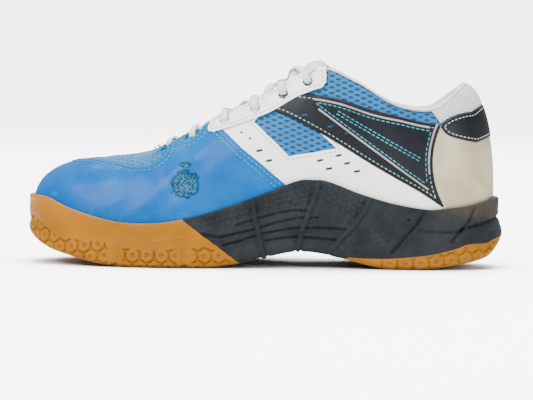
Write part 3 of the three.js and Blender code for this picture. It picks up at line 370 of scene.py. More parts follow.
def new_piece(name, verts_mm, faces, uv=None, ride="root", extra=None):
    """A mesh object in metres at its own place."""
    mesh = bpy.data.meshes.new(name)
    mesh.from_pydata(((np.asarray(verts_mm) + PLACE) * MM).tolist(), [], faces)
    if uv is not None:
        layer = mesh.uv_layers.new(name="cloth")
        index = np.empty(len(mesh.loops), np.int32)
        mesh.loops.foreach_get("vertex_index", index)
        layer.data.foreach_set("uv", np.asarray(uv, float)[index].ravel())
    if extra is not None:
        for key, values in extra.items():
            attr = mesh.attributes.new(key, "FLOAT", "POINT")
            attr.data.foreach_set("value", np.asarray(values, float))
    mesh.update()
    piece = bpy.data.objects.new(name, mesh)
    bpy.context.scene.collection.objects.link(piece)
    MADE[name] = piece
    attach(piece, ride)
    return piece


def choose(piece):
    for o in list(bpy.context.selected_objects):
        o.select_set(False)
    piece.select_set(True)
    bpy.context.view_layer.objects.active = piece


def thicken(piece, mm, angle=35):
    """Gives a sheet its thickness inwards, and smooths its faces but not its corners."""
    choose(piece)
    mod = piece.modifiers.new("thickness", "SOLIDIFY")
    mod.thickness = mm * MM
    mod.offset = -1
    mod.use_even_offset = False
    bpy.ops.object.modifier_apply(modifier=mod.name)
    bpy.ops.object.shade_smooth_by_angle(angle=math.radians(angle))
    return piece


def panel(name, loop, lift, thick, roll=0.45, holes=(), step=1.3, fill=2.2, groove=None, ride="root",
          puff=0.0):
    """A panel on the last: loop and holes in (s, t), lift of its face, thickness, all in mm."""
    edge = spaced(loop, step)
    flat = lambda st: np.column_stack([st[:, 0] * A_MM, st[:, 1] * B_MM])
    e2 = flat(edge)
    area = 0.5 * np.sum(e2[:, 0] * np.roll(e2[:, 1], -1) - e2[:, 1] * np.roll(e2[:, 0], -1))
    if area < 0:
        edge, e2 = edge[::-1], e2[::-1]
    EDGES[name] = edge
    rims = [edge] + [spaced(h, 0.8) for h in holes]
    rim2 = [flat(r) for r in rims]
    rings = []
    for inset in (0.35, 0.9, 1.7, 2.6, 3.6):
        ring = shifted(edge, inset, closed=True)[:: 1 if inset < 2 else 2]
        rings.append(ring)
    lo, hi = e2.min(0), e2.max(0)
    xs = np.arange(lo[0], hi[0] + fill, fill)
    ys = np.arange(lo[1], hi[1] + fill, fill * 0.87)
    gx, gy = np.meshgrid(xs, ys)
    gx[1::2] += fill / 2
    grid2 = np.column_stack([gx.ravel(), gy.ravel()])
    pool2 = np.vstack([flat(np.vstack(rings)), grid2])
    keep = inside(pool2, e2)
    for r in rim2[1:]:
        keep &= ~inside(pool2, r)
    n_ring = sum(len(r) for r in rings)
    gap = away(pool2, np.vstack(rim2))
    need = np.concatenate([np.repeat([0.25, 0.7, 1.35, 2.1, 3.0], [len(r) for r in rings]),
                           np.full(len(grid2), 3.6)])
    keep &= gap > need
    keep[:n_ring] &= np.concatenate([[True], np.linalg.norm(np.diff(pool2[:n_ring], axis=0), axis=1) > 0.15])
    fill2 = pool2[keep]
    every2 = np.vstack(rim2 + [fill2])
    lines = []
    start = 0
    for r in rim2:
        lines += [(start + k, start + (k + 1) % len(r)) for k in range(len(r))]
        start += len(r)
    v2, _, f2, _, _, _ = delaunay_2d_cdt([Vector(p) for p in every2], lines, [], 0, 1e-5)
    v2 = np.array([tuple(p) for p in v2])
    tri = np.array([f for f in f2 if len(f) == 3])
    mid = v2[tri].mean(axis=1)
    ok = inside(mid, e2)
    for r in rim2[1:]:
        ok &= ~inside(mid, r)
    tri = tri[ok]
    used = np.unique(tri)
    remap = np.full(len(v2), -1)
    remap[used] = np.arange(len(used))
    v2, tri = v2[used], remap[tri]
    st = np.column_stack([v2[:, 0] / A_MM, v2[:, 1] / B_MM])
    rim_xyz = np.vstack([skin(r[:, 0], r[:, 1], np.full(len(r), lift)) for r in rims])
    xyz = skin(st[:, 0], st[:, 1], np.full(len(st), lift))
    d = away(xyz, rim_xyz)
    drop = roll * np.clip(1 - d / 1.1, 0, 1) ** 2
    if groove:
        for at in groove:
            drop += 0.22 * soft_bump(d, at, 0.55)
    rise = puff * (1 - np.exp(-d / 3.0))
    xyz = skin(st[:, 0], st[:, 1], lift - drop + rise)
    a = xyz[tri[:, 0]]
    n = np.cross(xyz[tri[:, 1]] - a, xyz[tri[:, 2]] - a)
    o = sample(OUT, st[tri[:, 0], 0], st[tri[:, 0], 1])
    flip = np.sum(n * o, axis=1) < 0
    tri[flip] = tri[flip][:, ::-1]
    piece = new_piece(name, xyz, tri.tolist(), uv=v2 / 10, ride=ride, extra={"rim": np.clip(d, 0, 20)})
    thicken(piece, thick)
    print(name, len(piece.data.polygons), "faces")
    return piece

# %% [markdown]
# ## The panels' outlines
# A pattern maker draws the panels on the last's side. The outlines here are side views, x back
# from the shoe's middle and z up, in millimetres, and each is found on both sides of the last.
# Panels that pass round the toe or the heel join their two sides into one loop.

# %% side-view outlines
blue_rear = [(-37.5, 88.6), (-33.5, 85.3), (-14.3, 71), (4.9, 55.7), (12.7, 49.4), (24, 38), (34, 20)]
collar_line = soft_line([(18, 104.5), (36, 102.5), (48, 100), (62, 95.5), (77, 92), (92, 88.5),
                         (103.5, 86.6)], 5)
quarter_low = soft_line([(-8, 95.2), (5, 93.2), (17, 88.5), (38, 77.6), (67, 60.5), (92, 46.8),
                         (107, 37)], 6)
scallop = soft_line([(104, 86.5), (101.5, 80), (99.5, 70), (99.8, 58), (103, 46), (109, 34)], 5)
patch_low = soft_line([(104.5, 86.1), (109, 81.5), (118, 78.8), (126, 77.4)], 5)
heel_top = soft_line([(104.5, 86.9), (110, 90.6), (118, 93.2), (123, 93.8)], 5)


def edge_run(s0, s1, t=1.0, count=30):
    """A stretch along the throat or collar edge, or along the feather line with t = 0."""
    return np.column_stack([np.linspace(s0, s1, count), np.full(count, t)])


def station(k):
    return k / ROUND


both = {side: {} for side in (-1, 1)}
for side in (-1, 1):
    rear = on_side(blue_rear, side)
    both[side]["blue_rear"] = np.vstack([rear, [rear[-1, 0] + side * -0.012, 0.0]])
    both[side]["collar_line"] = on_side(collar_line, side)
    both[side]["quarter_low"] = on_side(quarter_low, side)
    both[side]["scallop"] = on_side(scallop, side)
    both[side]["patch_low"] = on_side(patch_low, side)
    both[side]["heel_top"] = on_side(heel_top, side)
for key, line in both[-1].items():
    print(key, line[0].round(3), line[-1].round(3))
for side in (-1, 1):
    # the window over the toes, in stations and heights on the last, and forward again at the throat
    low = soft_line([(0, 0.645), (0.5, 0.665), (1.0, 0.70), (1.5, 0.70), (2.0, 0.675), (2.4, 0.65),
                     (2.8, 0.655), (3.05, 0.71), (3.05, 0.78), (2.83, 0.85), (2.5, 0.925), (2.3, 1.0)], 6)
    low[:, 0] *= -side / ROUND
    both[side]["toe_window"] = low
    rear = both[side]["blue_rear"]
    rear[0] = (-side * 0.1605, 1.0)
    both[side]["blue_rear"] = rear

# %% [markdown]
# ## The mesh under everything
# The base of the upper is a knitted mesh, one piece over the toes and one on each side. It
# shows in the window behind the toe cap, in the window on the side and round the collar.

# %% base cloths
HEEL_S = 0.5
SEAM = station(4.2)


vamp_loop = np.vstack([edge_run(-SEAM, SEAM, 1.0, 60), edge_run(SEAM, -SEAM, 0.02, 90)])
vamp = panel("vamp_mesh_cloth", vamp_loop, 1.0, 1.0, roll=0.2, fill=2.0)
meshes = {}
for side, word in ((-1, "medial"), (1, "lateral")):
    a, b = (SEAM + 0.0008, HEEL_S - 0.0006) if side < 0 else (-SEAM - 0.0008, -HEEL_S + 0.0006)
    loop = np.vstack([edge_run(a, b, 1.0, 60), edge_run(b, a, 0.02, 80)])
    meshes[side] = panel("quarter_mesh_cloth_" + word, loop, 1.0, 1.0, roll=0.2, fill=2.0)

# %% [markdown]
# ## The synthetic panels
# Over the mesh come cut panels of coated synthetic: blue round the toe, white at the waist,
# black at the quarter, and cream round the heel. Each lies on the ones beneath it.

# %% toe overlay, cut out over the toes and notched at the first two eyelets
def notch(middle, side):
    shape = [(0.27, 1.0), (0.26, 0.93), (0.2, 0.865), (0.08, 0.835), (-0.08, 0.835), (-0.2, 0.865),
             (-0.26, 0.93), (-0.27, 1.0)]
    return [(-side * station(middle + a), b) for a, b in shape]


def toe_half(side):
    """Up the rear edge, along the throat and down the window's edge to the toe's middle."""
    rear = both[side]["blue_rear"][::-1]
    return np.vstack([rear, notch(3.7, side), notch(2.75, side), both[side]["toe_window"][::-1]])


loop = np.vstack([toe_half(-1), toe_half(1)[::-1][1:], edge_run(both[1]["blue_rear"][-1, 0],
                                                           both[-1]["blue_rear"][-1, 0], 0.0, 90)[1:-1]])
toe_panel = panel("toe_overlay", loop, 2.45, 1.05, roll=0.5, groove=(2.2, 5.0), step=1.2, fill=1.7)

# %% white waist panels, black quarters, eyelet strips and the raised bands


pairs = {}
for side, word in ((-1, "medial"), (1, "lateral")):
    sign = -side
    rear = both[side]["blue_rear"].copy()
    rear[:, 0] -= sign * 0.010
    low = both[side]["quarter_low"]
    inner = low[10:].copy()
    inner = shifted(inner, 2.6 * sign)
    window = on_side([(-2, 93), (-7.6, 87), (1, 79), (13.8, 66.8), (28, 69.2), (42, 71.9)], side)
    bottom = on_side([(108.4, 33.6), (117.6, 20)], side)
    bottom = np.vstack([bottom, [[bottom[-1, 0] + sign * 0.003, 0.0]]])
    top = edge_run(sign * station(5.1), sign * 0.152, 1.0, 12)
    white_loop = np.vstack([rear[::-1][:-1], top[::-1], [[sign * station(5.35), 0.955]], window, inner,
                            bottom, edge_run(bottom[-1, 0], rear[-1, 0], 0.0, 50)[1:-1]])
    pairs["saddle", side] = panel("waist_panel_" + word, white_loop, 1.95, 1.0, roll=0.45, groove=(2.0,),
                                  fill=2.0)
    rise = shifted(both[side]["collar_line"], 0.0)
    front = on_side([(6, 103)], side)
    front[0, 1] = min(front[0, 1], 0.97)
    black_loop = np.vstack([low[:-1], both[side]["scallop"][::-1][2:-1], rise[::-1], front,
                            [[sign * station(5.5), 0.93]]])
    pairs["quarter", side] = panel("quarter_panel_" + word, black_loop, 2.6, 1.0, roll=0.5, groove=(2.3,),
                                   fill=1.9)

# %% look at what is there so far
print({k: (len(v.data.polygons)) for k, v in MADE.items()})

# %% raised bands, eyelet strips and the heel's panels
EYELETS = [2.75, 3.7, 4.75, 5.65, 6.5, 7.3]
EYELET_INSET, EYELET_RADIUS = 6.2, 2.7


def eyelet_place(k, side, inset=EYELET_INSET):
    s = station(EYELETS[k])
    return (s if side < 0 else -s, below_edge(s if side < 0 else -s, inset))


def round_hole(centre, radius, count=18):
    """A round hole on the last as a loop of (s, t)."""
    s0, t0 = centre
    e = 2e-3
    here = skin(s0, t0, 1.0)
    by_s = (skin(s0 + e, t0, 1.0) - here) / e
    by_t = (skin(s0, t0 - e, 1.0) - here) / -e
    j = np.column_stack([by_s, by_t])
    u = by_s / np.linalg.norm(by_s)
    w = by_t - u * np.dot(by_t, u)
    w /= np.linalg.norm(w)
    out = []
    for k in range(count):
        a = 2 * math.pi * k / count
        move = np.linalg.lstsq(j, (u * math.cos(a) + w * math.sin(a)) * radius, rcond=None)[0]
        out.append((s0 + move[0], t0 + move[1]))
    return np.array(out)


band_lines = {}
for side, word in ((-1, "medial"), (1, "lateral")):
    sign = -side
    scal = both[side]["scallop"]
    collar = both[side]["collar_line"]
    top = shifted(collar[1:-1], -2.6 * sign)
    back = shifted(scal[1:18], -2.4 * sign)
    tip = on_side([(28, 97.2)], side)
    foot = back[-1]
    low = np.column_stack([np.linspace(foot[0], tip[0, 0], 24), np.linspace(foot[1], tip[0, 1], 24)])
    straight = on_side(np.column_stack([np.linspace(97, 28, 24), np.linspace(48.5, 97.2, 24)]), side)
    band_loop = np.vstack([straight, top[2:-1], back[:-1]])
    pairs["band", side] = panel("raised_band_" + word, band_loop, 3.35, 0.8, roll=0.45, groove=(1.9,),
                                fill=1.6)
    band_lines[side] = (straight, top[2:-1], back[:-1])
    strip = np.vstack([edge_run(sign * station(4.3), sign * station(8.02), 1.0, 50),
                       [(sign * station(8.05 - 0.02 * k), below_edge(sign * station(8.05), 1.2 * k))
                        for k in (1, 4, 8)],
                       [(sign * station(a), below_edge(sign * station(a), 12.5))
                        for a in np.linspace(7.7, 4.5, 30)],
                       [(sign * station(4.32), below_edge(sign * station(4.32), 10.5)),
                        (sign * station(4.24), below_edge(sign * station(4.24), 6.0))]])
    holes = [round_hole(eyelet_place(k, side), EYELET_RADIUS + 0.35) for k in (2, 3, 4, 5)]
    pairs["eyestay", side] = panel("eyelet_strip_" + word, strip, 3.5, 1.2, roll=0.5, holes=holes,
                                   groove=(2.0,), fill=1.5, step=1.0)


def heel_loop(medial_line, lateral_line):
    """Readies a line from each side for a loop across the heel; the lateral one is counted on past the heel.
    """
    lateral = lateral_line.copy()
    lateral[:, 0] = lateral[:, 0] % 1.0
    return medial_line, lateral


scal_m, scal_l = heel_loop(both[-1]["scallop"], both[1]["scallop"])
patch_m, patch_l = heel_loop(both[-1]["patch_low"], both[1]["patch_low"])
top_m, top_l = heel_loop(both[-1]["heel_top"], both[1]["heel_top"])
corner_m, corner_l = scal_m[-1], scal_l[-1]
cover_loop = np.vstack([[[corner_m[0] + 0.022, 0.0]], [[corner_m[0] + 0.012, 0.05]],
                        shifted(scal_m[::-1][1:], 1.6),
                        patch_m[1:], [[0.5, 0.49]], patch_l[::-1][:-1], shifted(scal_l[1:], 1.6)[:-1],
                        [[corner_l[0] - 0.012, 0.05]], [[corner_l[0] - 0.022, 0.0]],
                        edge_run(corner_l[0] - 0.022, corner_m[0] + 0.022, 0.0, 40)[1:-1]])
cover = panel("heel_counter_panel", cover_loop, 2.0, 1.0, roll=0.4, groove=(2.0,), fill=2.0)
patch_loop = np.vstack([shifted(patch_m, -1.0), [[0.5, 0.478]], shifted(patch_l, 1.0)[::-1], top_l,
                        [[0.5, 0.705]], top_m[::-1]])
patch = panel("heel_patch_panel", patch_loop, 2.7, 1.0, roll=0.5, groove=(1.8,), fill=1.7)
tab_loop = np.vstack([shifted(top_m, 0.9), [[0.5, 0.695]], shifted(top_l, -0.9)[::-1],
                      edge_run(top_l[0, 0], top_m[0, 0], 1.0, 50)])
tab = panel("heel_tab_cloth", tab_loop, 2.0, 1.1, roll=0.4, fill=1.4, puff=0.8)

# %% [markdown]
# ## The sole unit
# The sole is three mouldings: a gum rubber cup under the forefoot, a charcoal foam midsole with
# a high arch, and a gum rubber tread under the heel. Each is lofted as a U-shaped section that
# runs from its open end to the tip of the toe or heel. The moulded relief is real geometry:
# every point of the wall moves in or out by a height that depends on where it is.

# %% the sole's outer profile
OVERHANG = {-1: [6.5, 7.5, 8.5, 9, 9, 8.5, 6.5, 6.5, 7.5, 8.5, 8.5, 8.5, 8.5, 8.5],
            1: [6.5, 7.5, 8.5, 8.5, 7.5, 7.5, 6, 6, 7, 8, 8.5, 8.5, 8.5, 8.5]}
LIP = 5.1           # the sole's top edge stands this far off the last
HOLLOW = 2.62       # and its inner wall this far


def overhang(s):
    place = (np.asarray(s) % 1.0) * ROUND
    medial = place <= ROUND / 2
    place = np.where(medial, place, ROUND - place)
    knots = np.arange(len(STATIONS))
    return np.where(medial, np.interp(place, knots, OVERHANG[-1]), np.interp(place, knots, OVERHANG[1]))


def feather(s):
    """Points of the feather line and the direction out from it in plan."""
    p = skin(s, np.zeros(np.shape(s)), np.zeros(np.shape(s)))
    e = 0.5 / COLS
    d = skin(s + e, np.zeros(np.shape(s)), np.zeros(np.shape(s))) - skin(s - e, np.zeros(np.shape(s)),
                                                                    np.zeros(np.shape(s)))
    n = np.column_stack([d[:, 1], -d[:, 0], np.zeros(len(d))])
    return p, n / np.linalg.norm(n, axis=1, keepdims=True)


def row_at(s, lift, share):
    """The t at which the last, lifted, is part of the way from the foot bed to the sole's top line."""
    ts = np.linspace(0, 0.62, 90)
    ss, tt = np.meshgrid(s, ts)
    xyz = skin(ss, tt, np.full(ss.shape, lift))
    goal = xyz[0, :, 2] + (sole_top(xyz[:, :, 0]) - xyz[0, :, 2]) * share
    over = xyz[:, :, 2] - goal
    hit = np.argmax(over > 0, axis=0)
    hit = np.maximum(hit, 1)
    k = np.arange(len(s))
    a, b = over[hit - 1, k], over[hit, k]
    return ts[hit - 1] + (ts[1] - ts[0]) * np.clip(-a / (b - a + 1e-9), 0, 1)


def outer_rows(s, count):
    """The outer wall at places s, from the ground up: an array (count, len(s), 3)."""
    p, n = feather(s)
    reach = overhang(s)[:, None]

    def plan(out, height):
        q = p + n * out
        q[:, 2] = height(q[:, 0])
        return q
    t_half, t_top = row_at(s, LIP + 0.2, 0.5), row_at(s, LIP, 1.0)
    knots = [plan(reach - 3, ground), plan(reach - 0.7, lambda x: ground(x) + 1.5),
             plan(reach - 0.05, lambda x: ground(x) + 5),
             plan(0.45 * reach + 0.55 * LIP, lambda x: foot_bed(x) + 0.5),
             skin(s, t_half, np.full(len(s), LIP + 0.2)), skin(s, t_top, np.full(len(s), LIP))]
    knots = np.array(knots)
    fine = soft_line_many(knots, 14)
    run = np.concatenate([np.zeros((1, len(s))),
                          np.cumsum(np.linalg.norm(np.diff(fine, axis=0), axis=2), axis=0)])
    out = np.empty((count, len(s), 3))
    for c in range(len(s)):
        at = np.linspace(0, run[-1, c], count)
        for axis in range(3):
            out[:, c, axis] = np.interp(at, run[:, c], fine[:, c, axis])
    return out, t_top


def soft_line_many(knots, per):
    n = len(knots)
    out = []
    for k in np.linspace(0, n - 1, (n - 1) * per + 1):
        i = min(int(k), n - 2)
        w = k - i
        p0, p1, p2, p3 = knots[max(i - 1, 0)], knots[i], knots[i + 1], knots[min(i + 2, n - 1)]
        v0, v1 = (p2 - p0) / 2, (p3 - p1) / 2
        out.append((2 * p1 - 2 * p2 + v0 + v1) * w**3 + (3 * p2 - 3 * p1 - 2 * v0 - v1) * w**2 + v0 * w + p1)
    return np.array(out)


print("outer wall at the toe, mm:", outer_rows(np.array([0.0]), 6)[0][:, 0].round(1).tolist())

# %% relief: distances to moulded lines, and hexagon cells
def to_line(x, z, line):
    """Distance in mm from points of the side view to a line of points."""
    best = np.full(np.shape(x), 1e9)
    for (x0, z0), (x1, z1) in zip(line[:-1], line[1:]):
        dx, dz = x1 - x0, z1 - z0
        w = np.clip(((x - x0) * dx + (z - z0) * dz) / (dx * dx + dz * dz + 1e-9), 0, 1)
        best = np.minimum(best, np.hypot(x - x0 - w * dx, z - z0 - w * dz))
    return best


def hexagons(u, v, pitch):
    """For a honeycomb of that pitch: distance to the cell's wall and to its centre."""
    h = pitch * math.sqrt(3) / 2
    best = [np.full(np.shape(u), 1e9), np.full(np.shape(u), 1e9)]
    row = np.floor(v / h)
    for dr in (-1, 0, 1, 2):
        r = row + dr
        shift = (r % 2) * pitch / 2
        col = np.floor((u - shift) / pitch)
        for dc in (0, 1):
            d = np.hypot(u - (col + dc) * pitch - shift, v - r * h)
            best[1] = np.minimum(best[1], np.maximum(best[0], d))
            best[0] = np.minimum(best[0], d)
    return (best[1] - best[0]) / 2, best[0]


def ramp(x, low, high):
    w = np.clip((x - low) / (high - low), 0, 1)
    return w * w * (3 - 2 * w)


def within(x, z, loop, soft=1.5):
    """1 inside a side-view loop, and down to 0 outside it over a soft edge."""
    pts = np.column_stack([np.ravel(x), np.ravel(z)])
    hit = inside(pts, np.array(loop, float)).reshape(np.shape(x))
    d = to_line(x, z, list(loop) + [loop[0]])
    return np.where(hit, 1.0, 1 - ramp(d, 0, soft))


ARCH_RIBS = [[(-7.3, 40.2), (-5.8, 29.8), (-3.3, 19.8), (-0.1, 6.7)],
             [(31.6, 50.6), (28.8, 40.5), (25.7, 32.3), (22.5, 23.4), (20, 11.4)],
             [(62.6, 41.3), (57.3, 32.5), (52.3, 25.4), (38.9, 10.9)]]
REAR_CUTS = [[(95.2, 35), (92.4, 29.4), (89.3, 25.5), (84.3, 19.8), (76.1, 10.2)],
             [(125.5, 37), (123.3, 30.6), (118.2, 24.2), (111.9, 17.1)]]
WAVES = [[(-37.2, 20.4), (-27.7, 18.4), (-18.4, 20.5), (-7.6, 22.9), (1.3, 25.8), (13.3, 29), (22.2, 30.4),
          (31.2, 30.3)],
         [(-16.6, 25.8), (-5.8, 29.2), (6.7, 32.9), (16.3, 34.7), (26, 34.6)],
         [(-24.6, 13.8), (-15.1, 16.4), (-4.5, 19.8), (3.7, 21.8), (16.3, 24), (22.5, 24.3), (32, 24.3),
          (47.7, 23.6)],
         [(0.6, 16.7), (9.9, 18.2), (19.4, 19), (32, 18.2), (44.5, 17)]]
HEEL_CUT = [(91.8, 23.7), (105.6, 22.7), (115.7, 23.1), (118.8, 24.8), (130.8, 27.9), (141, 31)]
CELLS = [[(-37.5, 32.2), (-7, 42.4), (19.3, 50.1), (30, 50.3), (27.6, 38.9), (13.3, 36.2), (-7, 31),
          (-36.9, 23.9)],
         [(33, 50.3), (46.1, 49.4), (59.8, 43.7), (56.9, 34.1), (50.9, 28), (43.1, 36.2), (34.2, 40.8)],
         [(56, 23.3), (76, 24), (76, 16), (56, 16)]]


def foam_relief(x, z, run):
    """The midsole's relief in mm at side-view points."""
    h = np.zeros(np.shape(x))
    wave = np.full(np.shape(x), 1e9)
    for line in WAVES:
        wave = np.minimum(wave, to_line(x, z, line))
    wall, middle = hexagons(x + 0.35 * z, z - 0.3 * x, 3.9)
    zone = np.maximum.reduce([within(x, z, loop) for loop in CELLS])
    top = sole_top(x) - z
    zone = zone * ramp(top, 0.8, 2.2)
    h -= 0.7 * zone * (1 - ramp(wall, 0.25, 0.8))
    h -= 1.1 * soft_bump(wave, 0, 0.75) - 0.55 * soft_bump(wave, 1.5, 0.9)
    for line in ARCH_RIBS:
        d = to_line(x, z, line)
        h = h * ramp(d, 1.1, 2.4) + 1.0 * (1 - ramp(d, 0.7, 1.6)) - 0.7 * soft_bump(d, 2.2, 0.8)
    for line in REAR_CUTS:
        d = to_line(x, z, line)
        h -= 1.5 * soft_bump(d, 0, 0.85)
        h += 0.55 * soft_bump(to_line(x - 1.9, z, line), 0, 0.8)
    d = to_line(x, z, HEEL_CUT)
    h -= (1.0 + 1.0 * ramp(x, 112, 120)) * soft_bump(d, 0, 0.6 + 0.5 * ramp(x, 112, 120))
    h -= 1.1 * (1 - ramp(np.hypot(x - 85.9, z - 29.7), 0.7, 1.2))
    h += 0.25 * ramp(z, 23, 24.5) * ramp(x, 92, 95)
    h -= 0.3 * soft_bump(to_line(x, z, [(-38.4, 29.8), (-37.8, 22.9)]), 0, 0.5)
    swell = 0.9 * within(x, z, [(62, 36), (88, 30), (84, 21), (70, 12), (52, 14), (56, 26)], 5)
    return h + swell


GUM_PITCH = 8.6


def gum_relief(x, z, run):
    """The forefoot rubber's relief in mm: cells low on the wall, and two rounded notches."""
    up = z - ground(x)
    wall, middle = hexagons(run + 2.0, z - 0.72 * np.minimum(x + 88, 0) * 0.16 - 0.5 + 0.4, GUM_PITCH)
    limit = 11.5 + 1.5 * np.sin(run / 9.0)
    zone = (1 - ramp(up, limit - 0.6, limit + 0.4)) * ramp(up, 0.3, 1.2)
    near = np.minimum(np.abs(x + 88.8), np.abs(x + 47.6))
    zone *= ramp(near, 4.2, 5.0)
    zone *= ramp(to_line(x, z, [(-51, 30), (-14, 3)]), 2.2, 3.2)
    h = -1.2 * zone * (1 - ramp(wall, 0.3, 0.85))
    h -= 1.1 * zone * (1 - ramp(middle, 0.9, 1.6))
    h += 0.12 * zone
    for at in (-88.8, -47.6):
        h -= 1.7 * soft_bump(x, at, 2.3) * (1 - ramp(up, 10, 13.5))
    h += 0.3 * soft_bump(to_line(x, z, [(-66, 15.6), (-64.3, 16.2), (-52.4, 17.6), (-40, 21)]), 0, 0.6)
    h += 0.35 * (1 - ramp(sole_top(x) - z, 1.5, 3.2))
    return h


def heel_relief(x, z, run):
    up = z - ground(x)
    wall, middle = hexagons(run + 3.0, z - 0.1 * np.maximum(x - 90, 0) + 4.6, 9.4)
    zone = ramp(up, 0.2, 1.0) * (1 - ramp(up, np.maximum(heel_line(x) - ground(x) - 1.7, 1),
                                          np.maximum(heel_line(x) - ground(x) - 0.9, 1.5))) * ramp(x, 66, 72)
    return -1.15 * zone * (1 - ramp(wall, 0.35, 0.95)) - 1.0 * zone * (1 - ramp(middle, 0.9, 1.7))


heel_line = height_over_x([(40, 6.2), (48, 7.6), (57, 6.8), (76, 7), (95, 8.8), (105, 10.6), (115, 13.2),
                           (122, 15.6), (133, 16.2), (138, 18.2), (150, 22)])
print("rear notch and arch relief, mm:", round(float(gum_relief(-47.6, 4.0, 10.0)), 2),
      round(float(foam_relief(25.7, 32.3, 0.0)), 2))

# %% tread underneath: a herringbone in fields
def tread(x, y, deep=1.3, pitch=5.2):
    """How deep the tread's grooves are in mm at points of the plan."""
    zig = np.abs(((x + 400) / 11.0) % 2 - 1) * 5.5
    line = np.abs(((y + zig + 400) / pitch) % 1 - 0.5) * pitch
    groove = 1 - ramp(line, 0.35, 0.85)
    ball = np.hypot((x + 62) / 1.0, (y - 0) / 0.8)
    ring = 1 - ramp(np.abs(ball - 17), 0.6, 1.4)
    core = 1 - ramp(ball, 15.5, 16.4)
    wall, middle = hexagons(x, y, 5.4)
    groove = groove * ramp(ball, 18.6, 19.4) + core * (1 - ramp(wall, 0.25, 0.7))
    return deep * np.maximum(groove, ring)


print("deepest tread on a row, mm:", round(float(tread(np.linspace(-60, 60, 900), 12.0).max()), 2))

# %% [markdown]
# The walls of all three mouldings come from one table of points round the shoe, so they meet
# without a step. A piece of it is picked by where it starts and ends.

# %% tables of the outer wall, plain and with each relief
WALL_ROWS, WALL_COLS = 66, ROUND * 58
wall_s = np.arange(WALL_COLS) / WALL_COLS
WALL, wall_top = outer_rows(wall_s, WALL_ROWS)
wall_east = np.roll(WALL, -1, axis=1) - np.roll(WALL, 1, axis=1)
wall_out = np.cross(wall_east, np.gradient(WALL, axis=0))
wall_out /= np.linalg.norm(wall_out, axis=2, keepdims=True)
wall_run = np.concatenate([[0], np.cumsum(np.linalg.norm(np.diff(WALL[30], axis=0), axis=1))])


def with_relief(relief):
    x, z = WALL[..., 0], WALL[..., 2]
    return WALL + wall_out * relief(x, z, np.broadcast_to(wall_run, x.shape))[..., None]


def pick(table, s, v):
    """Points of a wall table at s round the shoe and v up the wall, both arrays."""
    u = (np.asarray(s) % 1.0) * WALL_COLS
    r = np.clip(v, 0, 1) * (WALL_ROWS - 1)
    i0, j0 = np.floor(u).astype(int) % WALL_COLS, np.clip(np.floor(r).astype(int), 0, WALL_ROWS - 2)
    fu, fv = (u - np.floor(u))[..., None], (r - j0)[..., None]
    i1 = (i0 + 1) % WALL_COLS
    return ((table[j0, i0] * (1 - fu) + table[j0, i1] * fu) * (1 - fv)
            + (table[j0 + 1, i0] * (1 - fu) + table[j0 + 1, i1] * fu) * fv)


def crossing(line_x, side, rows):
    """For each row, the s where the wall meets a slanted line x(z) of the side view."""
    half = WALL_COLS // 2
    cols = np.arange(20, half - 20) if side < 0 else np.arange(WALL_COLS - 20, half + 20, -1)
    out = []
    for v in rows:
        p = pick(WALL, wall_s[cols % WALL_COLS], np.full(len(cols), v))
        k = int(np.argmax(p[:, 0] - line_x(p[:, 2]) > 0))
        out.append(wall_s[cols[k] % WALL_COLS])
    return np.array(out)


heel_v = np.zeros(WALL_COLS)
for c in range(WALL_COLS):
    z = WALL[:, c, 2] - heel_line(WALL[:, c, 0])
    k = int(np.argmax(z > 0))
    if WALL[0, c, 0] > 38 and k:
        heel_v[c] = (k - 1 + (-z[k - 1]) / (z[k] - z[k - 1])) / (WALL_ROWS - 1) * ramp(WALL[0, c, 0], 44, 52)
print("heel rubber's share of the wall at the tip:", round(float(heel_v[WALL_COLS // 2]), 2))

# %% the mouldings
RIB_LENGTH = np.linalg.norm(np.diff(NET, axis=0), axis=2).sum(axis=0)


def rib_length(s):
    return np.interp((np.asarray(s) % 1.0) * COLS, np.arange(COLS + 1), np.append(RIB_LENGTH, RIB_LENGTH[0]))


def side_section(table, s_rows, v_rows, lipped):
    """One side's points from the ground up, over the lip and down the inner wall."""
    wall = pick(table, s_rows, v_rows)
    if not lipped:
        return wall
    s = s_rows[-1]
    top = np.interp((s % 1.0) * WALL_COLS, np.arange(WALL_COLS + 1), np.append(wall_top, wall_top[0]))
    mm = 1 / float(rib_length(s))
    path = [(0.5, LIP - 0.35), (0.75, LIP - 0.9), (0.7, HOLLOW + 0.9), (0.45, HOLLOW + 0.25), (-0.6, HOLLOW),
            (-5, HOLLOW)]
    lip = [skin(s, top + h * mm, d) for h, d in path] + [skin(s, top * 0.45, HOLLOW), skin(s, 0.0, HOLLOW)]
    return np.vstack([wall, lip])


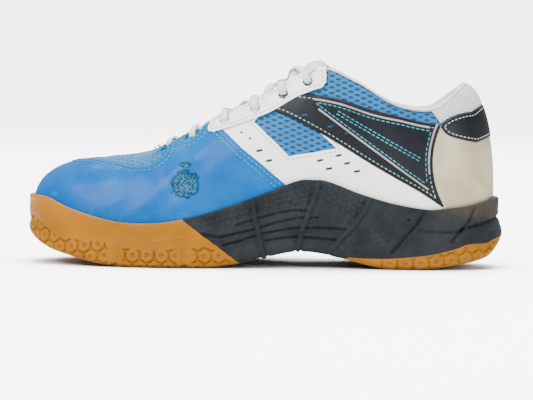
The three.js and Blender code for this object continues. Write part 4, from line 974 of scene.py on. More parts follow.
def moulding(name, table, ends, tip, low, high, columns, lipped, across, under=None, floor=6):
    """Lofts a sole piece: ends gives s at the open end for each row, medial and lateral."""
    rows = len(ends[0])
    share = np.linspace(0, 1, rows)
    loops = []
    for i in range(columns + 1):
        w = i / columns
        halves = []
        for end, goal in zip(ends, tip):
            s_rows = end + (goal - end) * w
            lo, hi = low(s_rows), high(s_rows)
            halves.append(side_section(table, s_rows, lo + (hi - lo) * share, lipped))
        a, b = halves
        cross_top = [a[-1] + (b[-1] - a[-1]) * k / floor for k in range(1, floor)]
        mix = np.linspace(0, 1, across + 1)[1:-1, None]
        cross_low = b[0] + (a[0] - b[0]) * mix
        if under is not None:
            edge = np.minimum(mix[:, 0], 1 - mix[:, 0]) * np.linalg.norm(a[0] - b[0])
            cross_low[:, 2] = (ground(cross_low[:, 0])
                               + under(cross_low[:, 0], cross_low[:, 1]) * ramp(edge, 0.6, 2.4))
        loops.append(np.vstack([a, cross_top, b[::-1], cross_low]))
    loops = np.array(loops)
    n = loops.shape[1]
    faces = []
    for i in range(columns):
        for k in range(n):
            a, b = i * n + k, i * n + (k + 1) % n
            faces.append((a, a + n, b + n, b))
    faces.append(tuple(range(n)))
    piece = new_piece(name, loops.reshape(-1, 3), faces)
    choose(piece)
    bpy.ops.object.mode_set(mode="EDIT")
    bpy.ops.mesh.select_all(action="SELECT")
    bpy.ops.mesh.remove_doubles(threshold=0.00004)
    bpy.ops.mesh.normals_make_consistent(inside=False)
    bpy.ops.object.mode_set(mode="OBJECT")
    bpy.ops.object.shade_smooth_by_angle(angle=math.radians(50))
    print(name, len(piece.data.polygons), "faces")
    return piece


full_rows = np.linspace(0, 1, WALL_ROWS)
slant = lambda z: -50 + (28.8 - z) * 36 / 26.2
slant_m, slant_l = crossing(slant, -1, full_rows), crossing(slant, 1, full_rows)
whole = lambda s: np.ones(len(s))
zero = lambda s: np.zeros(len(s))
heel_share = lambda s: np.interp((s % 1.0) * WALL_COLS, np.arange(WALL_COLS + 1),
                                 np.append(heel_v, heel_v[0]))
cup = moulding("forefoot_rubber_cup", with_relief(gum_relief), (slant_m, slant_l - 1), (0.0, 0.0), zero,
               whole, 330, True, 110, under=tread)


midsole = moulding("midsole_foam", with_relief(foam_relief), (slant_m + 0.0004, slant_l - 0.0004), (0.5, 0.5),
                   heel_share, whole, 340, True, 70, under=None)
heel_rows = np.linspace(0, 1, 22)
open_m, open_l = (crossing(lambda z: 47.0 + 0 * z, side, heel_rows * 0.2) for side in (-1, 1))
heel_rubber = moulding("heel_rubber_tread", with_relief(heel_relief), (open_m, open_l), (0.5, 0.5), zero,
                       lambda s: np.maximum(heel_share(s) - 0.002, 0.004), 210, False, 90, under=tread)
for piece, node in ((cup, "outsole_forefoot"), (midsole, "midsole"), (heel_rubber, "outsole_heel")):
    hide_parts(node)

# %% [markdown]
# ## Linings and padding
# A knitted lining covers the inside and rolls out over the collar's edge, with foam behind it.
# Each is lofted from one section per rib: a section is a list of heights above the edge and
# offsets off the last.

# %% lofts that follow the collar
def section_loft(name, s_list, section, closed, ride="root", uv_scale=10.0):
    """Lofts section(s) -> list of (height above the edge in mm or t, offset), along s."""
    grid = []
    for s in s_list:
        mm = 1 / float(rib_length(s))
        row = []
        for h, d in section(s):
            t = 1 + h * mm if h > -300 else (h + 1000)
            row.append(skin(s, max(t, 0.0), d))
        grid.append(row)
    grid = np.array(grid)
    rows, n = grid.shape[:2]
    faces, uv = [], []
    run_n = np.concatenate([[0], np.cumsum(np.linalg.norm(np.diff(grid.mean(axis=0), axis=0), axis=1))])
    run_s = np.concatenate([[0], np.cumsum(np.linalg.norm(np.diff(grid[:, n // 3], axis=0), axis=1))])
    uv = [(a / uv_scale, b / uv_scale) for a in run_s for b in run_n]
    last = n if closed else n - 1
    for i in range(rows - 1):
        for k in range(last):
            a, b = i * n + k, i * n + (k + 1) % n
            faces.append((a, b, b + n, a + n))
    if closed:
        faces += [tuple(range(n)), tuple(range((rows - 1) * n, rows * n))[::-1]]
    piece = new_piece(name, grid.reshape(-1, 3), faces, uv=uv, ride=ride)
    choose(piece)
    bpy.ops.object.mode_set(mode="EDIT")
    bpy.ops.mesh.select_all(action="SELECT")
    bpy.ops.mesh.normals_make_consistent(inside=False)
    bpy.ops.object.mode_set(mode="OBJECT")
    bpy.ops.object.shade_smooth_by_angle(angle=math.radians(60))
    print(name, len(piece.data.polygons), "faces")
    return piece


def pad_share(s):
    """0 before the collar's padding starts and 1 behind it."""
    place = abs(((s + 0.5) % 1.0) - 0.5) * ROUND
    return float(ramp(np.array(place), 7.9, 9.0))


def lining_section(s):
    p = pad_share(s)
    quilt = 0.35 * math.sin(abs(((s + 0.5) % 1.0) - 0.5) * ROUND * 2.6)
    out = [(-2.6, 2.45), (-1.4, 2.75), (-0.2, 2.7), (0.9, 2.2), (1.7, 1.2), (2.1, 0.0), (2.2, -1.8),
           (1.9, -3.6), (1.0, -5.2), (-0.6, -6.3), (-3, -6.9 - quilt), (-7, -7.1 - quilt), (-12, -6.9),
           (-18, -6.9 + quilt), (-25, -6.6), (-32, -6.3), (-38, -5.0), (-43, -3.6)]
    thin = [(-1.6, 1.15), (-1.2, 1.3), (-0.6, 1.3), (-0.1, 1.2), (0.3, 0.9), (0.5, 0.3), (0.5, -0.4),
            (0.4, -1.0),
            (0.0, -1.5), (-1, -1.8), (-3, -1.9), (-7, -1.9), (-12, -1.9), (-18, -1.9), (-25, -1.9),
            (-32, -1.9), (-38, -1.9), (-43, -1.9)]
    rows = [(a[0] * p + b[0] * (1 - p), a[1] * p + b[1] * (1 - p)) for a, b in zip(out, thin)]
    low = 1 - 43.0 / float(rib_length(s))
    tail = [(-1000 + low * (1 - k / 6), -3.6 * p - 1.9 * (1 - p) + (1.7 * p) * k / 6) for k in range(1, 6)]
    face = rows + tail + [(-1000 + 0.01, -1.9)]
    back = [(h if h < -300 else h, d + 0.75) for h, d in face[9:]][::-1]
    inner = [(h - 0.5, d - 0.7 + (1.4 if d < -1 else 0)) for h, d in face[:9]][::-1]
    return face + back + inner


stations_back = np.linspace(4.25, ROUND - 4.25, 420) / ROUND
lining = section_loft("collar_lining_knit", stations_back, lining_section, True)
foam = section_loft("collar_foam_pad", np.linspace(8.0, ROUND - 8.0, 160) / ROUND,
                    lambda s: [(-1, -0.5), (-0.2, -1.6), (-0.2, -3.6), (-1.2, -5.0), (-4, -5.5), (-14, -5.5),
                               (-26, -5.2), (-34, -4.2), (-37, -2.6), (-37, -1.4), (-30, -0.5), (-18, -0.4),
                               (-8, -0.4)], True)
front = np.linspace(-4.15, 4.15, 160) / ROUND
vamp_inside = section_loft("vamp_lining_cloth", front, lambda s: [(-1.2, -0.35)] + [(-1000 + t, -1.0) for t in
                           np.linspace(0.97, 0.01, 14)]
                           + [(-1000 + t, -0.3) for t in np.linspace(0.01, 0.97, 14)],
                           True)
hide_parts("collar_lining")
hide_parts("collar_foam")
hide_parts("vamp_lining")
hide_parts("vamp_mesh")
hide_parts("forefoot_overlay")
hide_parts("heel_counter_cover")
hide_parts("heel_collar_patch")
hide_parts("heel_tab")
for side, word in ((-1, "medial"), (1, "lateral")):
    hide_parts("quarter_mesh_" + word)
    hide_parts("saddle_overlay_" + word)
    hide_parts("quarter_overlay_" + word)
    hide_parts("side_band_" + word)
    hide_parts("eyestay_" + word)

# %% sockliner: a loose foot bed with a raised heel rim
pairs_s = np.linspace(0.004, 0.496, 150)
bed_grid, N_ACROSS = [], 26
for s in pairs_s:
    a, b = skin(s, 0.03, -3.9), skin(-s, 0.03, -3.9)
    a[2], b[2] = foot_bed(a[0]), foot_bed(b[0])
    w = np.linspace(0, 1, N_ACROSS + 1)[:, None]
    top = a + (b - a) * w
    edge = np.minimum(w[:, 0], 1 - w[:, 0]) * np.linalg.norm(a - b)
    rim = 2.0 * (1 - ramp(edge, 0, 9)) * ramp(top[:, 0], 0, 60)
    round_off = 1.5 * (1 - ramp(edge, 0.0, 2.2))
    high = top.copy()
    high[:, 2] = foot_bed(top[:, 0]) + 4.7 + 0.4 * rim - round_off
    low = top.copy()
    low[:, 2] = foot_bed(top[:, 0]) + 1.3 + round_off * 0.3
    bed_grid.append(np.vstack([high, low[::-1]]))
bed_grid = np.array(bed_grid)
n = bed_grid.shape[1]
faces = [(i * n + k, i * n + (k + 1) % n, (i + 1) * n + (k + 1) % n, (i + 1) * n + k)
         for i in range(len(pairs_s) - 1)
         for k in range(n)]
faces += [tuple(range(n))[::-1], tuple(range((len(pairs_s) - 1) * n, len(pairs_s) * n))]
bed = new_piece("sockliner_foot_bed", bed_grid.reshape(-1, 3), faces, ride="sockliner",
                uv=[(p[0] / 10, p[1] / 10) for p in bed_grid.reshape(-1, 3)])
choose(bed)
bpy.ops.object.mode_set(mode="EDIT")
bpy.ops.mesh.select_all(action="SELECT")
bpy.ops.mesh.normals_make_consistent(inside=False)
bpy.ops.object.mode_set(mode="OBJECT")
bpy.ops.object.shade_smooth_by_angle(angle=math.radians(60))
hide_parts("sockliner")
print("sockliner", len(bed.data.polygons), "faces")

# %% [markdown]
# ## Tongue
# The tongue is a padded strip that starts under the vamp, runs under the lacing and stands up
# at the top. It is lofted from arches: each has a crown on the middle line and two wings, which
# tuck in under the eyelet strips. One mesh crosses the fold, and it bends there.

# %% the tongue's arches
CROWNS = [(1.3, (-66, 59.5)), (2.2, (-55.1, 64.9)), (3.6, (-38.8, 76.2)), (5.0, (-16.6, 90.5)),
          (6.4, (9.2, 107.2)),
          (7.0, (19.7, 115.2)), (7.3, (24.2, 118.4)), (7.6, (25.6, 121.4)), (7.9, (26.3, 123.6))]
TOP_WINGS = {7.3: (27.4, 18.0, 111.6), 7.6: (32.6, 18.0, 116.6), 7.9: (35.8, 19.0, 120.6)}


def tongue_arch(k, a, sink=0.0):
    """A point of the tongue's face at station k; a runs from -90 to 90 degrees, wing to wing."""
    keys = [c[0] for c in CROWNS]
    xc, zc = (np.interp(k, keys, [c[1][j] for c in CROWNS]) for j in (0, 1))
    sides = []
    for side in (-1, 1):
        kk = min(k, 7.0)
        s = station(kk) * -side
        low = skin(s, below_edge(s, 9), -5.5)
        wing = np.array([low[0], low[1], low[2]])
        if k > 7.0:
            tk = sorted(TOP_WINGS)
            goal = np.array([np.interp(k, [7.0] + tk,
                                       [(low if side else low)[0]] + [TOP_WINGS[q][0] for q in tk]),
                             np.interp(k, [7.0] + tk, [abs(low[1])] + [TOP_WINGS[q][1] for q in tk]) * side,
                             np.interp(k, [7.0] + tk, [low[2]] + [TOP_WINGS[q][2] for q in tk])])
            wing = goal
        sides.append(wing)
    mid = (sides[0] + sides[1]) / 2
    half = (sides[1] - sides[0]) / 2
    crown = np.array([xc, 0, zc])
    c, s_ = math.cos(math.radians(a)), math.sin(math.radians(a))
    face = mid + half * s_ + (crown - mid) * c
    into = -(half * s_ / max(np.linalg.norm(half), 1) ** 2 * np.linalg.norm(half) + (crown - mid) * c
             / max(np.linalg.norm(crown - mid), 1))
    into /= max(np.linalg.norm(into), 1e-6)
    return face + into * sink


ANGLES = np.linspace(-90, 90, 45)
tongue_rows = []
for k in np.concatenate([np.linspace(1.3, 7.0, 70), np.linspace(7.04, 7.9, 22)]):
    end = ramp(np.array(k), 7.9, 7.72)
    quilt = 0.35 * math.cos(k * 9.0)
    face = [tongue_arch(k, a, 1.6 * abs(a / 90) ** 8 + (1 - end) * 1.3 - quilt * math.cos(math.radians(a))
                        - (0.5 * math.cos(math.radians(a * 3)) if abs(a) < 30 else 0)) for a in ANGLES]
    back = [tongue_arch(k, a, (4.6 - 1.8 * abs(a / 90) ** 6) * (0.35 + 0.65 * end) + 0.6)
            for a in ANGLES[::-1]]
    tongue_rows.append(face + back)
tongue_rows = np.array(tongue_rows)
n = tongue_rows.shape[1]
faces = [(i * n + k, i * n + (k + 1) % n, (i + 1) * n + (k + 1) % n, (i + 1) * n + k)
         for i in range(len(tongue_rows) - 1) for k in range(n)]
faces += [tuple(range(n))[::-1], tuple(range((len(tongue_rows) - 1) * n, len(tongue_rows) * n))]
run_u = np.concatenate([[0], np.cumsum(np.linalg.norm(np.diff(tongue_rows[:, 22], axis=0), axis=1))])
run_v = np.concatenate([[0], np.cumsum(np.linalg.norm(np.diff(tongue_rows[50], axis=0), axis=1))])
tongue = new_piece("tongue_padded", tongue_rows.reshape(-1, 3), faces,
                   uv=[(a / 10, b / 10) for a in run_u for b in run_v])
choose(tongue)
bpy.ops.object.mode_set(mode="EDIT")
bpy.ops.mesh.select_all(action="SELECT")
bpy.ops.mesh.normals_make_consistent(inside=False)
bpy.ops.object.mode_set(mode="OBJECT")
bpy.ops.object.shade_smooth_by_angle(angle=math.radians(60))
tongue.parent = None
del tongue["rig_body"]
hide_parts("tongue_lower", "tongue_top")
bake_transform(tongue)
print("tongue", len(tongue.data.polygons), "faces")

# %% [markdown]
# ## Lace
# One flat lace goes from side to side and up. It comes out of an eyelet, over the strip's edge
# and across the tongue, and in under the far edge to the next eyelet. Its route is a list of
# points with the direction that the flat side faces, and an oval section is swept along it.

# %% the lace's route
LACE_WIDTH, LACE_THICK = 4.6, 1.7


def eyelet_at(k, side, inset, lift):
    s = station(EYELETS[k]) * -side
    t = below_edge(s, inset) if inset >= 0 else 1 - inset / float(rib_length(s))
    return skin(s, t, lift), sample(OUT, s, min(t, 1.0))


def across(k, side, lift):
    """From an eyelet on one side over the tongue to the next eyelet on the other."""
    lid = 4.35 if k > 1 else 3.3
    route = [eyelet_at(k, side, 6.4, -0.5), eyelet_at(k, side, 6.1, 2.0), eyelet_at(k, side, 4.6, lid),
             eyelet_at(k, side, 2.2, lid + 0.3), eyelet_at(k, side, 0.0, lid + 0.2)]
    for u, more in ((0.2, 0.4), (0.4, 0.8), (0.6, 0.8), (0.8, 0.0)):
        a = (62 - 124 * u) * (1 if side > 0 else -1)
        kk = EYELETS[k] + (EYELETS[k + 1] - EYELETS[k]) * u
        face = tongue_arch(kk, a)
        up = face - tongue_arch(kk, a, 1.0)
        route.append((face + up * (1.7 + lift * (1 - abs(u - 0.5) * 1.2) + more), up))
    far = -side
    route += [eyelet_at(k + 1, far, 0.6, -3.4), eyelet_at(k + 1, far, 3.4, -3.6),
              eyelet_at(k + 1, far, 5.6, -2.6)]
    return route


def half_lace(first, lift):
    route, side = [], first
    for k in range(5):
        route += across(k, side, lift if side == first else lift)
        side = -side
    route += [eyelet_at(5, side, 6.4, -0.5), eyelet_at(5, side, 6.1, 2.0), eyelet_at(5, side, 4.4, 4.2),
              eyelet_at(5, side, 2.0, 4.3)]
    s = station(8.05) * -side
    for extra, inset, d in ((0.35, -1.6, 3.4), (0.6, -2.6, 0.4), (0.75, 1.0, -3.6), (0.8, 8, -4.4),
                            (0.85, 18, -4.6), (0.95, 27, -4.6)):
        s = station(7.3 + extra) * -side
        t = below_edge(s, inset) if inset >= 0 else 1 - inset / float(rib_length(s))
        route.append((skin(s, t, d), sample(OUT, s, min(t, 1.0)) * (1 if d > 0 else -1)))
    return route


bar = [eyelet_at(0, -1, 5.4, -3.4), eyelet_at(0, -1, 2.4, -3.6)]
cross_bar = []
for u in (0.25, 0.5, 0.75):
    face = tongue_arch(EYELETS[0], -62 + 124 * u)
    up = face - tongue_arch(EYELETS[0], -62 + 124 * u, 1.0)
    cross_bar.append((face + up * 1.5, up))
bar += cross_bar + [eyelet_at(0, 1, 2.4, -3.6), eyelet_at(0, 1, 5.4, -3.4)]
route = half_lace(-1, 0.3)[::-1] + bar + half_lace(1, 2.9)
knots = np.array([p for p, _ in route])
ups = np.array([u / np.linalg.norm(u) for _, u in route])
keep = np.concatenate([[True], np.linalg.norm(np.diff(knots, axis=0), axis=1) > 0.4])
knots, ups = knots[keep], ups[keep]


def round_path(pts, per=9):
    """A centripetal Catmull-Rom curve through points, with even steps."""
    chord = np.concatenate([[0], np.cumsum(np.sqrt(np.linalg.norm(np.diff(pts[:, :3], axis=0), axis=1)))])
    m = np.gradient(pts, chord, axis=0)
    out = []
    for i in range(len(pts) - 1):
        h = chord[i + 1] - chord[i]
        for w in np.arange(per) / per:
            out.append(pts[i] * (2 * w**3 - 3 * w**2 + 1) + m[i] * h * (w**3 - 2 * w**2 + w)
                       + pts[i + 1] * (3 * w**2 - 2 * w**3) + m[i + 1] * h * (w**3 - w**2))
    out.append(pts[-1])
    return np.array(out)


def sweep(name, path, up, width, thick, sides=14, ride="root", flat=2.6):
    """An oval or flat band swept along a path; up is the way its flat side faces."""
    fine = round_path(np.hstack([path, up]))
    run = np.concatenate([[0], np.cumsum(np.linalg.norm(np.diff(fine[:, :3], axis=0), axis=1))])
    at = np.linspace(0, run[-1], int(run[-1] / 0.9))
    p = np.column_stack([np.interp(at, run, fine[:, k]) for k in range(3)])
    u = np.column_stack([np.interp(at, run, fine[:, k]) for k in range(3, 6)])
    along = np.gradient(p, axis=0)
    along /= np.linalg.norm(along, axis=1, keepdims=True)
    u -= along * np.sum(u * along, axis=1, keepdims=True)
    u /= np.linalg.norm(u, axis=1, keepdims=True)
    w = np.cross(along, u)
    verts, uv = [], []
    for i in range(len(p)):
        for k in range(sides):
            a = 2 * math.pi * k / sides
            c, s_ = math.cos(a), math.sin(a)
            rx = math.copysign(abs(c) ** (2 / flat), c) * width / 2
            ry = math.copysign(abs(s_) ** (2 / flat), s_) * thick / 2
            verts.append(p[i] + w[i] * rx + u[i] * ry)
            uv.append((at[i] / 10, k / sides * (width * 2.4) / 10))
    n = sides
    faces = [(i * n + k, i * n + (k + 1) % n, (i + 1) * n + (k + 1) % n, (i + 1) * n + k)
             for i in range(len(p) - 1) for k in range(n)]
    faces += [tuple(range(n))[::-1], tuple(range((len(p) - 1) * n, len(p) * n))]
    piece = new_piece(name, verts, faces, uv=uv, ride=ride)
    choose(piece)
    bpy.ops.object.mode_set(mode="EDIT")
    bpy.ops.mesh.select_all(action="SELECT")
    bpy.ops.mesh.normals_make_consistent(inside=False)
    bpy.ops.object.mode_set(mode="OBJECT")
    bpy.ops.object.shade_smooth_by_angle(angle=math.radians(70))
    return piece, run[-1]


lace, lace_length = sweep("lace_flat_cotton", knots, ups, LACE_WIDTH, LACE_THICK)
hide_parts("lace")
print("lace", len(lace.data.polygons), "faces,", round(lace_length), "mm long")

# %% [markdown]
# ## Thread, painted slot shade and piping
# A seam's thread shows as one short bead per stitch, sunk at both ends where it goes through.
# Each seam follows its panel's edge at its own inset, and stops where the sole covers it.

# %% beads along a line on the last
def beads(name, lines, size, gap, sides=6, flat=1.0, ride="root"):
    """Small rounded bars along lines of points with outward directions; size is length and width in mm."""
    long, wide = size
    rings = [(-0.5, 0.45, -0.9), (-0.34, 0.95, -0.1), (0.0, 1.0, 0.12), (0.34, 0.95, -0.1), (0.5, 0.45, -0.9)]
    verts, faces = [], []
    for pts, outs in lines:
        run = np.concatenate([[0], np.cumsum(np.linalg.norm(np.diff(pts, axis=0), axis=1))])
        count = int(run[-1] / (long + gap))
        if count < 1:
            continue
        at = (np.arange(count) + 0.5) * run[-1] / count
        fore = np.column_stack([np.interp(at + 0.3, run, pts[:, k]) for k in range(3)])
        aft = np.column_stack([np.interp(at - 0.3, run, pts[:, k]) for k in range(3)])
        mid = (fore + aft) / 2
        up = np.column_stack([np.interp(at, run, outs[:, k]) for k in range(3)])
        up /= np.linalg.norm(up, axis=1, keepdims=True)
        along = fore - aft
        along /= np.maximum(np.linalg.norm(along, axis=1, keepdims=True), 1e-6)
        across_ = np.cross(along, up)
        for m, a, u, w in zip(mid, along, up, across_):
            start = len(verts)
            for place, girth, rise in rings:
                for k in range(sides):
                    q = 2 * math.pi * k / sides
                    verts.append(m + a * long * place + w * math.cos(q) * girth * wide / 2
                                 + u * ((math.sin(q) * girth * flat + rise * 0.4 * flat) * wide / 2))
            for r in range(len(rings) - 1):
                for k in range(sides):
                    i0, i1 = start + r * sides + k, start + r * sides + (k + 1) % sides
                    faces.append((i0, i1, i1 + sides, i0 + sides))
            faces.append(tuple(start + k for k in range(sides))[::-1])
            faces.append(tuple(start + (len(rings) - 1) * sides + k for k in range(sides)))
    piece = new_piece(name, verts, faces, ride=ride)
    choose(piece)
    bpy.ops.object.mode_set(mode="EDIT")
    bpy.ops.mesh.select_all(action="SELECT")
    bpy.ops.mesh.normals_make_consistent(inside=False)
    bpy.ops.object.mode_set(mode="OBJECT")
    bpy.ops.object.shade_smooth_by_angle(angle=math.radians(80))
    print(name, len(faces), "faces")
    return piece


def shown_runs(line, keep):
    """Cuts a line where keep is False and returns the runs that are left."""
    runs, now = [], []
    for p, k in zip(line, keep):
        if k:
            now.append(p)
        elif now:
            runs.append(np.array(now))
            now = []
    if now:
        runs.append(np.array(now))
    return [r for r in runs if len(r) > 3]


def seam(panel_name, inset, lift, keep=None):
    """The seam line inside a panel's edge, in space, where it shows."""
    edge = EDGES[panel_name]
    line = shifted(np.vstack([edge, edge[:1]]), inset, closed=False)
    s, t = line[:, 0], line[:, 1]
    top = np.interp((s % 1.0) * WALL_COLS, np.arange(WALL_COLS + 1), np.append(wall_top, wall_top[0]))
    ok = (t > top + 0.012) & (t < 0.985)
    rim = skin(edge[:, 0], edge[:, 1], np.full(len(edge), lift))
    ok &= away(skin(s, t, np.full(len(s), lift)), rim) > inset * 0.86
    if keep is not None:
        ok &= keep(s, t)
    out = []
    for run in shown_runs(line, ok):
        out.append((skin(run[:, 0], run[:, 1], np.full(len(run), lift)), sample(OUT, run[:, 0], run[:, 1])))
    return out


def on_last(st, lift):
    st = np.asarray(st)
    return skin(st[:, 0], st[:, 1], np.full(len(st), lift)), sample(OUT, st[:, 0], st[:, 1])


thread = {}
thread["toe_seams"] = beads("toe_seam_thread", seam("toe_overlay", 2.2, 2.5) + seam("toe_overlay", 5.0, 2.5),
                            (2.2, 0.78), 0.75)
for side, word in ((-1, "medial"), (1, "lateral")):
    thread["white" + word] = beads("waist_seam_thread_" + word, seam("waist_panel_" + word, 2.0, 1.9),
                                   (1.9, 0.6), 0.9)
    thread["pale" + word] = beads("quarter_seam_thread_" + word, seam("quarter_panel_" + word, 2.3, 2.5),
                                  (1.8, 0.6), 1.0)
    straight, top_edge, back_edge = band_lines[side]
    centre = on_side(np.column_stack([np.linspace(92, 42, 40), np.linspace(66, 93.5, 40)]), side)
    thread["teal" + word] = beads("band_seam_thread_" + word, seam("raised_band_" + word, 1.9, 3.3)
                                  + [on_last(shifted(centre, 0.9), 3.4), on_last(shifted(centre, -0.9), 3.4)],
                                  (2.3, 0.72), 0.7)
    thread["strip" + word] = beads("strip_seam_thread_" + word, seam("eyelet_strip_" + word, 2.0, 3.42),
                                   (1.9, 0.6), 0.9)
thread["heel"] = beads("heel_seam_thread", seam("heel_counter_panel", 2.0, 1.92)
                       + seam("heel_patch_panel", 1.8, 2.6),
                       (1.9, 0.6), 0.9)

# %% painted shade for the slots and punched holes in the side panels, and the bands' piping
SLOTS = [(-4, 69.9), (1.9, 64.1), (32.4, 64.7), (43.4, 67.8), (37.8, 59.9), (48.5, 63.2), (54.5, 58.5)]
DOTS = [(-14.8, 80.4), (-9.7, 77)]
SLOT_TURN = math.radians(13)
DARK_SLOTS = [(22.8, 91.3), (38.4, 84.9), (48.5, 81.1), (56.9, 77.1)]


def slot_lines(places, side, lift, long=4.6):
    out = []
    for x, z in places:
        ends = np.array([(x + math.cos(SLOT_TURN) * long / 2 * w, z + math.sin(SLOT_TURN) * long / 2 * w)
                         for w in (-1.05, -0.4, 0.4, 1.05)])
        out.append(on_last(on_side(ends, side), lift))
    return out


slots, piping = {}, {}
for side, word in ((-1, "medial"), (1, "lateral")):
    # painted shade: dark capsules on the panels stand for the shade inside the slots and punched holes; on
    # the quarter they are the blue mesh below, darkened as painted shade
    slots["light", side] = beads("waist_vent_slot_shade_" + word, slot_lines(SLOTS, side, 1.95), (4.2, 1.5), 0.1,
                                 sides=10, flat=0.35)
    slots["dots", side] = beads("waist_vent_hole_shade_" + word, slot_lines(DOTS, side, 1.95, 1.7), (1.5, 1.4),
                                0.1, sides=10, flat=0.35)
    slots["dark", side] = beads("quarter_vent_slot_shade_" + word, slot_lines(DARK_SLOTS, side, 2.62),
                                (4.2, 1.2), 0.1, sides=10, flat=0.35)
    straight, top_edge, back_edge = band_lines[side]
    for key, line in (("low", straight), ("top", top_edge), ("back", back_edge)):
        pts, outs = on_last(line, 3.15)
        piping[side, key], _ = sweep("band_piping_%s_%s" % (key, word), pts[::2], outs[::2], 1.25, 1.1,
                                     sides=10, flat=2.0)
print(len(MADE), "pieces so far")

# %% [markdown]
# ## Materials
# Every finish is built from nodes. The knits and the lace follow the piece's own unrolled map,
# in centimetres. The blue meshes, rubber, foam and coated synthetics read the piece's own
# coordinates, turned from metres into millimetres. The finishes of rubber, foam and synthetics
# have painted shade: they darken where ambient occlusion finds corners and grooves.

# %% a small kit for node trees
class Finish:
    """One material and short ways to add nodes to it."""

    def __init__(self, name, **values):
        self.material = bpy.data.materials.new(name)
        self.material.use_nodes = True
        self.tree = self.material.node_tree
        self.shader = self.tree.nodes["Principled BSDF"]
        for key, value in values.items():
            self.shader.inputs[key.replace("_", " ")].default_value = value

    def node(self, kind, **inputs):
        made = self.tree.nodes.new(kind)
        for key, value in inputs.items():
            socket = made.inputs[int(key[1:])] if key[0] == "i" and key[1:].isdigit() else made.inputs[key]
            if hasattr(value, "is_linked") or hasattr(value, "links"):
                self.tree.links.new(value, socket)
            else:
                socket.default_value = value
        return made

    def math(self, how, a, b=0.0, c=0.0):
        made = self.node("ShaderNodeMath", i0=a, i1=b, i2=c)
        made.operation = how
        return made.outputs[0]

    def mm(self):
        """The piece's own coordinates in millimetres."""
        spot = self.tree.nodes.new("ShaderNodeTexCoord")
        made = self.node("ShaderNodeVectorMath", i0=spot.outputs["Object"], i1=(1000, 1000, 1000))
        made.operation = "MULTIPLY"
        return made.outputs[0]

    def cloth_mm(self):
        spot = self.tree.nodes.new("ShaderNodeUVMap")
        spot.uv_map = "cloth"
        made = self.node("ShaderNodeVectorMath", i0=spot.outputs[0], i1=(10, 10, 10))
        made.operation = "MULTIPLY"
        return made.outputs[0]

    def parts(self, vector):
        made = self.node("ShaderNodeSeparateXYZ", i0=vector)
        return made.outputs[0], made.outputs[1], made.outputs[2]

    def noise(self, vector, scale, detail=4.0, rough=0.55):
        return self.node("ShaderNodeTexNoise", Vector=vector, Scale=scale, Detail=detail,
                         Roughness=rough).outputs[0]

    def ramp(self, value, low, high, a=0.0, b=1.0):
        made = self.node("ShaderNodeMapRange", Value=value)
        made.interpolation_type = "SMOOTHSTEP"
        for key, v in (("From Min", low), ("From Max", high), ("To Min", a), ("To Max", b)):
            made.inputs[key].default_value = v
        return made.outputs[0]

    def mix(self, share, a, b):
        made = self.tree.nodes.new("ShaderNodeMix")
        made.data_type = "RGBA"
        for index, value in ((0, share), (6, a), (7, b)):
            if hasattr(value, "links"):
                self.tree.links.new(value, made.inputs[index])
            else:
                made.inputs[index].default_value = (*value, 1) if isinstance(value,
                    tuple) and len(value) == 3 else value
        return made.outputs[2]

    def colour(self, socket):
        self.tree.links.new(socket, self.shader.inputs["Base Color"])

    def roughness(self, socket):
        self.tree.links.new(socket, self.shader.inputs["Roughness"])

    def bump(self, height, depth_mm, strength=0.8):
        made = self.node("ShaderNodeBump", Height=height, Strength=strength, Distance=depth_mm * MM)
        self.tree.links.new(made.outputs[0], self.shader.inputs["Normal"])


def srgb(r, g, b):
    lin = lambda v: (v / 255 / 12.92) if v / 255 <= 0.04045 else ((v / 255 + 0.055) / 1.055) ** 2.4
    return (lin(r), lin(g), lin(b))


print("node kit ready")

# %% coated synthetics
def coated(name, light, dark, rough, coat, grain=0.9, deep=0.05):
    f = Finish(name, Roughness=rough, Coat_Weight=coat, Coat_Roughness=0.2, Specular_IOR_Level=0.2)
    mm = f.mm()
    cloud = f.noise(mm, 0.05, 5)
    # painted shade: where ambient occlusion finds a corner or groove, the colour darkens towards 0.3 of the
    # dark tone
    painted_corner_shade = f.ramp(f.node("ShaderNodeAmbientOcclusion", Distance=0.004).outputs["AO"], 0.3, 0.9, 0.45, 0.0)
    f.colour(f.mix(painted_corner_shade, f.mix(f.ramp(cloud, 0.35, 0.7), dark, light), tuple(0.3 * c for c in dark)))
    pores = f.node("ShaderNodeTexVoronoi", Vector=mm, Scale=1 / grain).outputs["Distance"]
    f.roughness(f.ramp(f.noise(mm, 0.12, 4), 0.3, 0.75, rough - 0.07, rough + 0.1))
    f.bump(f.math("ADD", pores, f.math("MULTIPLY", f.noise(mm, 0.35, 5), 1.4)), deep)
    return f


blue = Finish("glossy_blue_synthetic", Roughness=0.42, Coat_Weight=0.05, Coat_Roughness=0.12,
              Specular_IOR_Level=0.06)
mm = blue.mm()
x, y, z = blue.parts(mm)
cloud = blue.noise(mm, 0.035, 5)
base = blue.mix(blue.ramp(cloud, 0.3, 0.7), (0.0, 0.072, 0.27), (0.0, 0.098, 0.32))
# painted highlight: noise patches lightened towards cyan stand in for the blue's soft highlights
painted_light = blue.ramp(blue.noise(mm, 0.09, 6, 0.65), 0.58, 0.78)
base = blue.mix(blue.math("MULTIPLY", painted_light, 0.55), base, (0.0, 0.22, 0.42))


def worn(cx, cz, rx, rz):
    """1 inside a frayed worn spot on the medial side, with a noisy rim."""
    dx = blue.math("DIVIDE", blue.math("SUBTRACT", x, cx), rx)
    dz = blue.math("DIVIDE", blue.math("SUBTRACT", z, cz), rz)
    d = blue.math("SQRT", blue.math("ADD", blue.math("MULTIPLY", dx, dx), blue.math("MULTIPLY", dz, dz)))
    return blue.math("ADD", d, blue.math("MULTIPLY",
                                         blue.math("SUBTRACT", blue.noise(mm, 0.32, 5, 0.7), 0.5), 1.3))


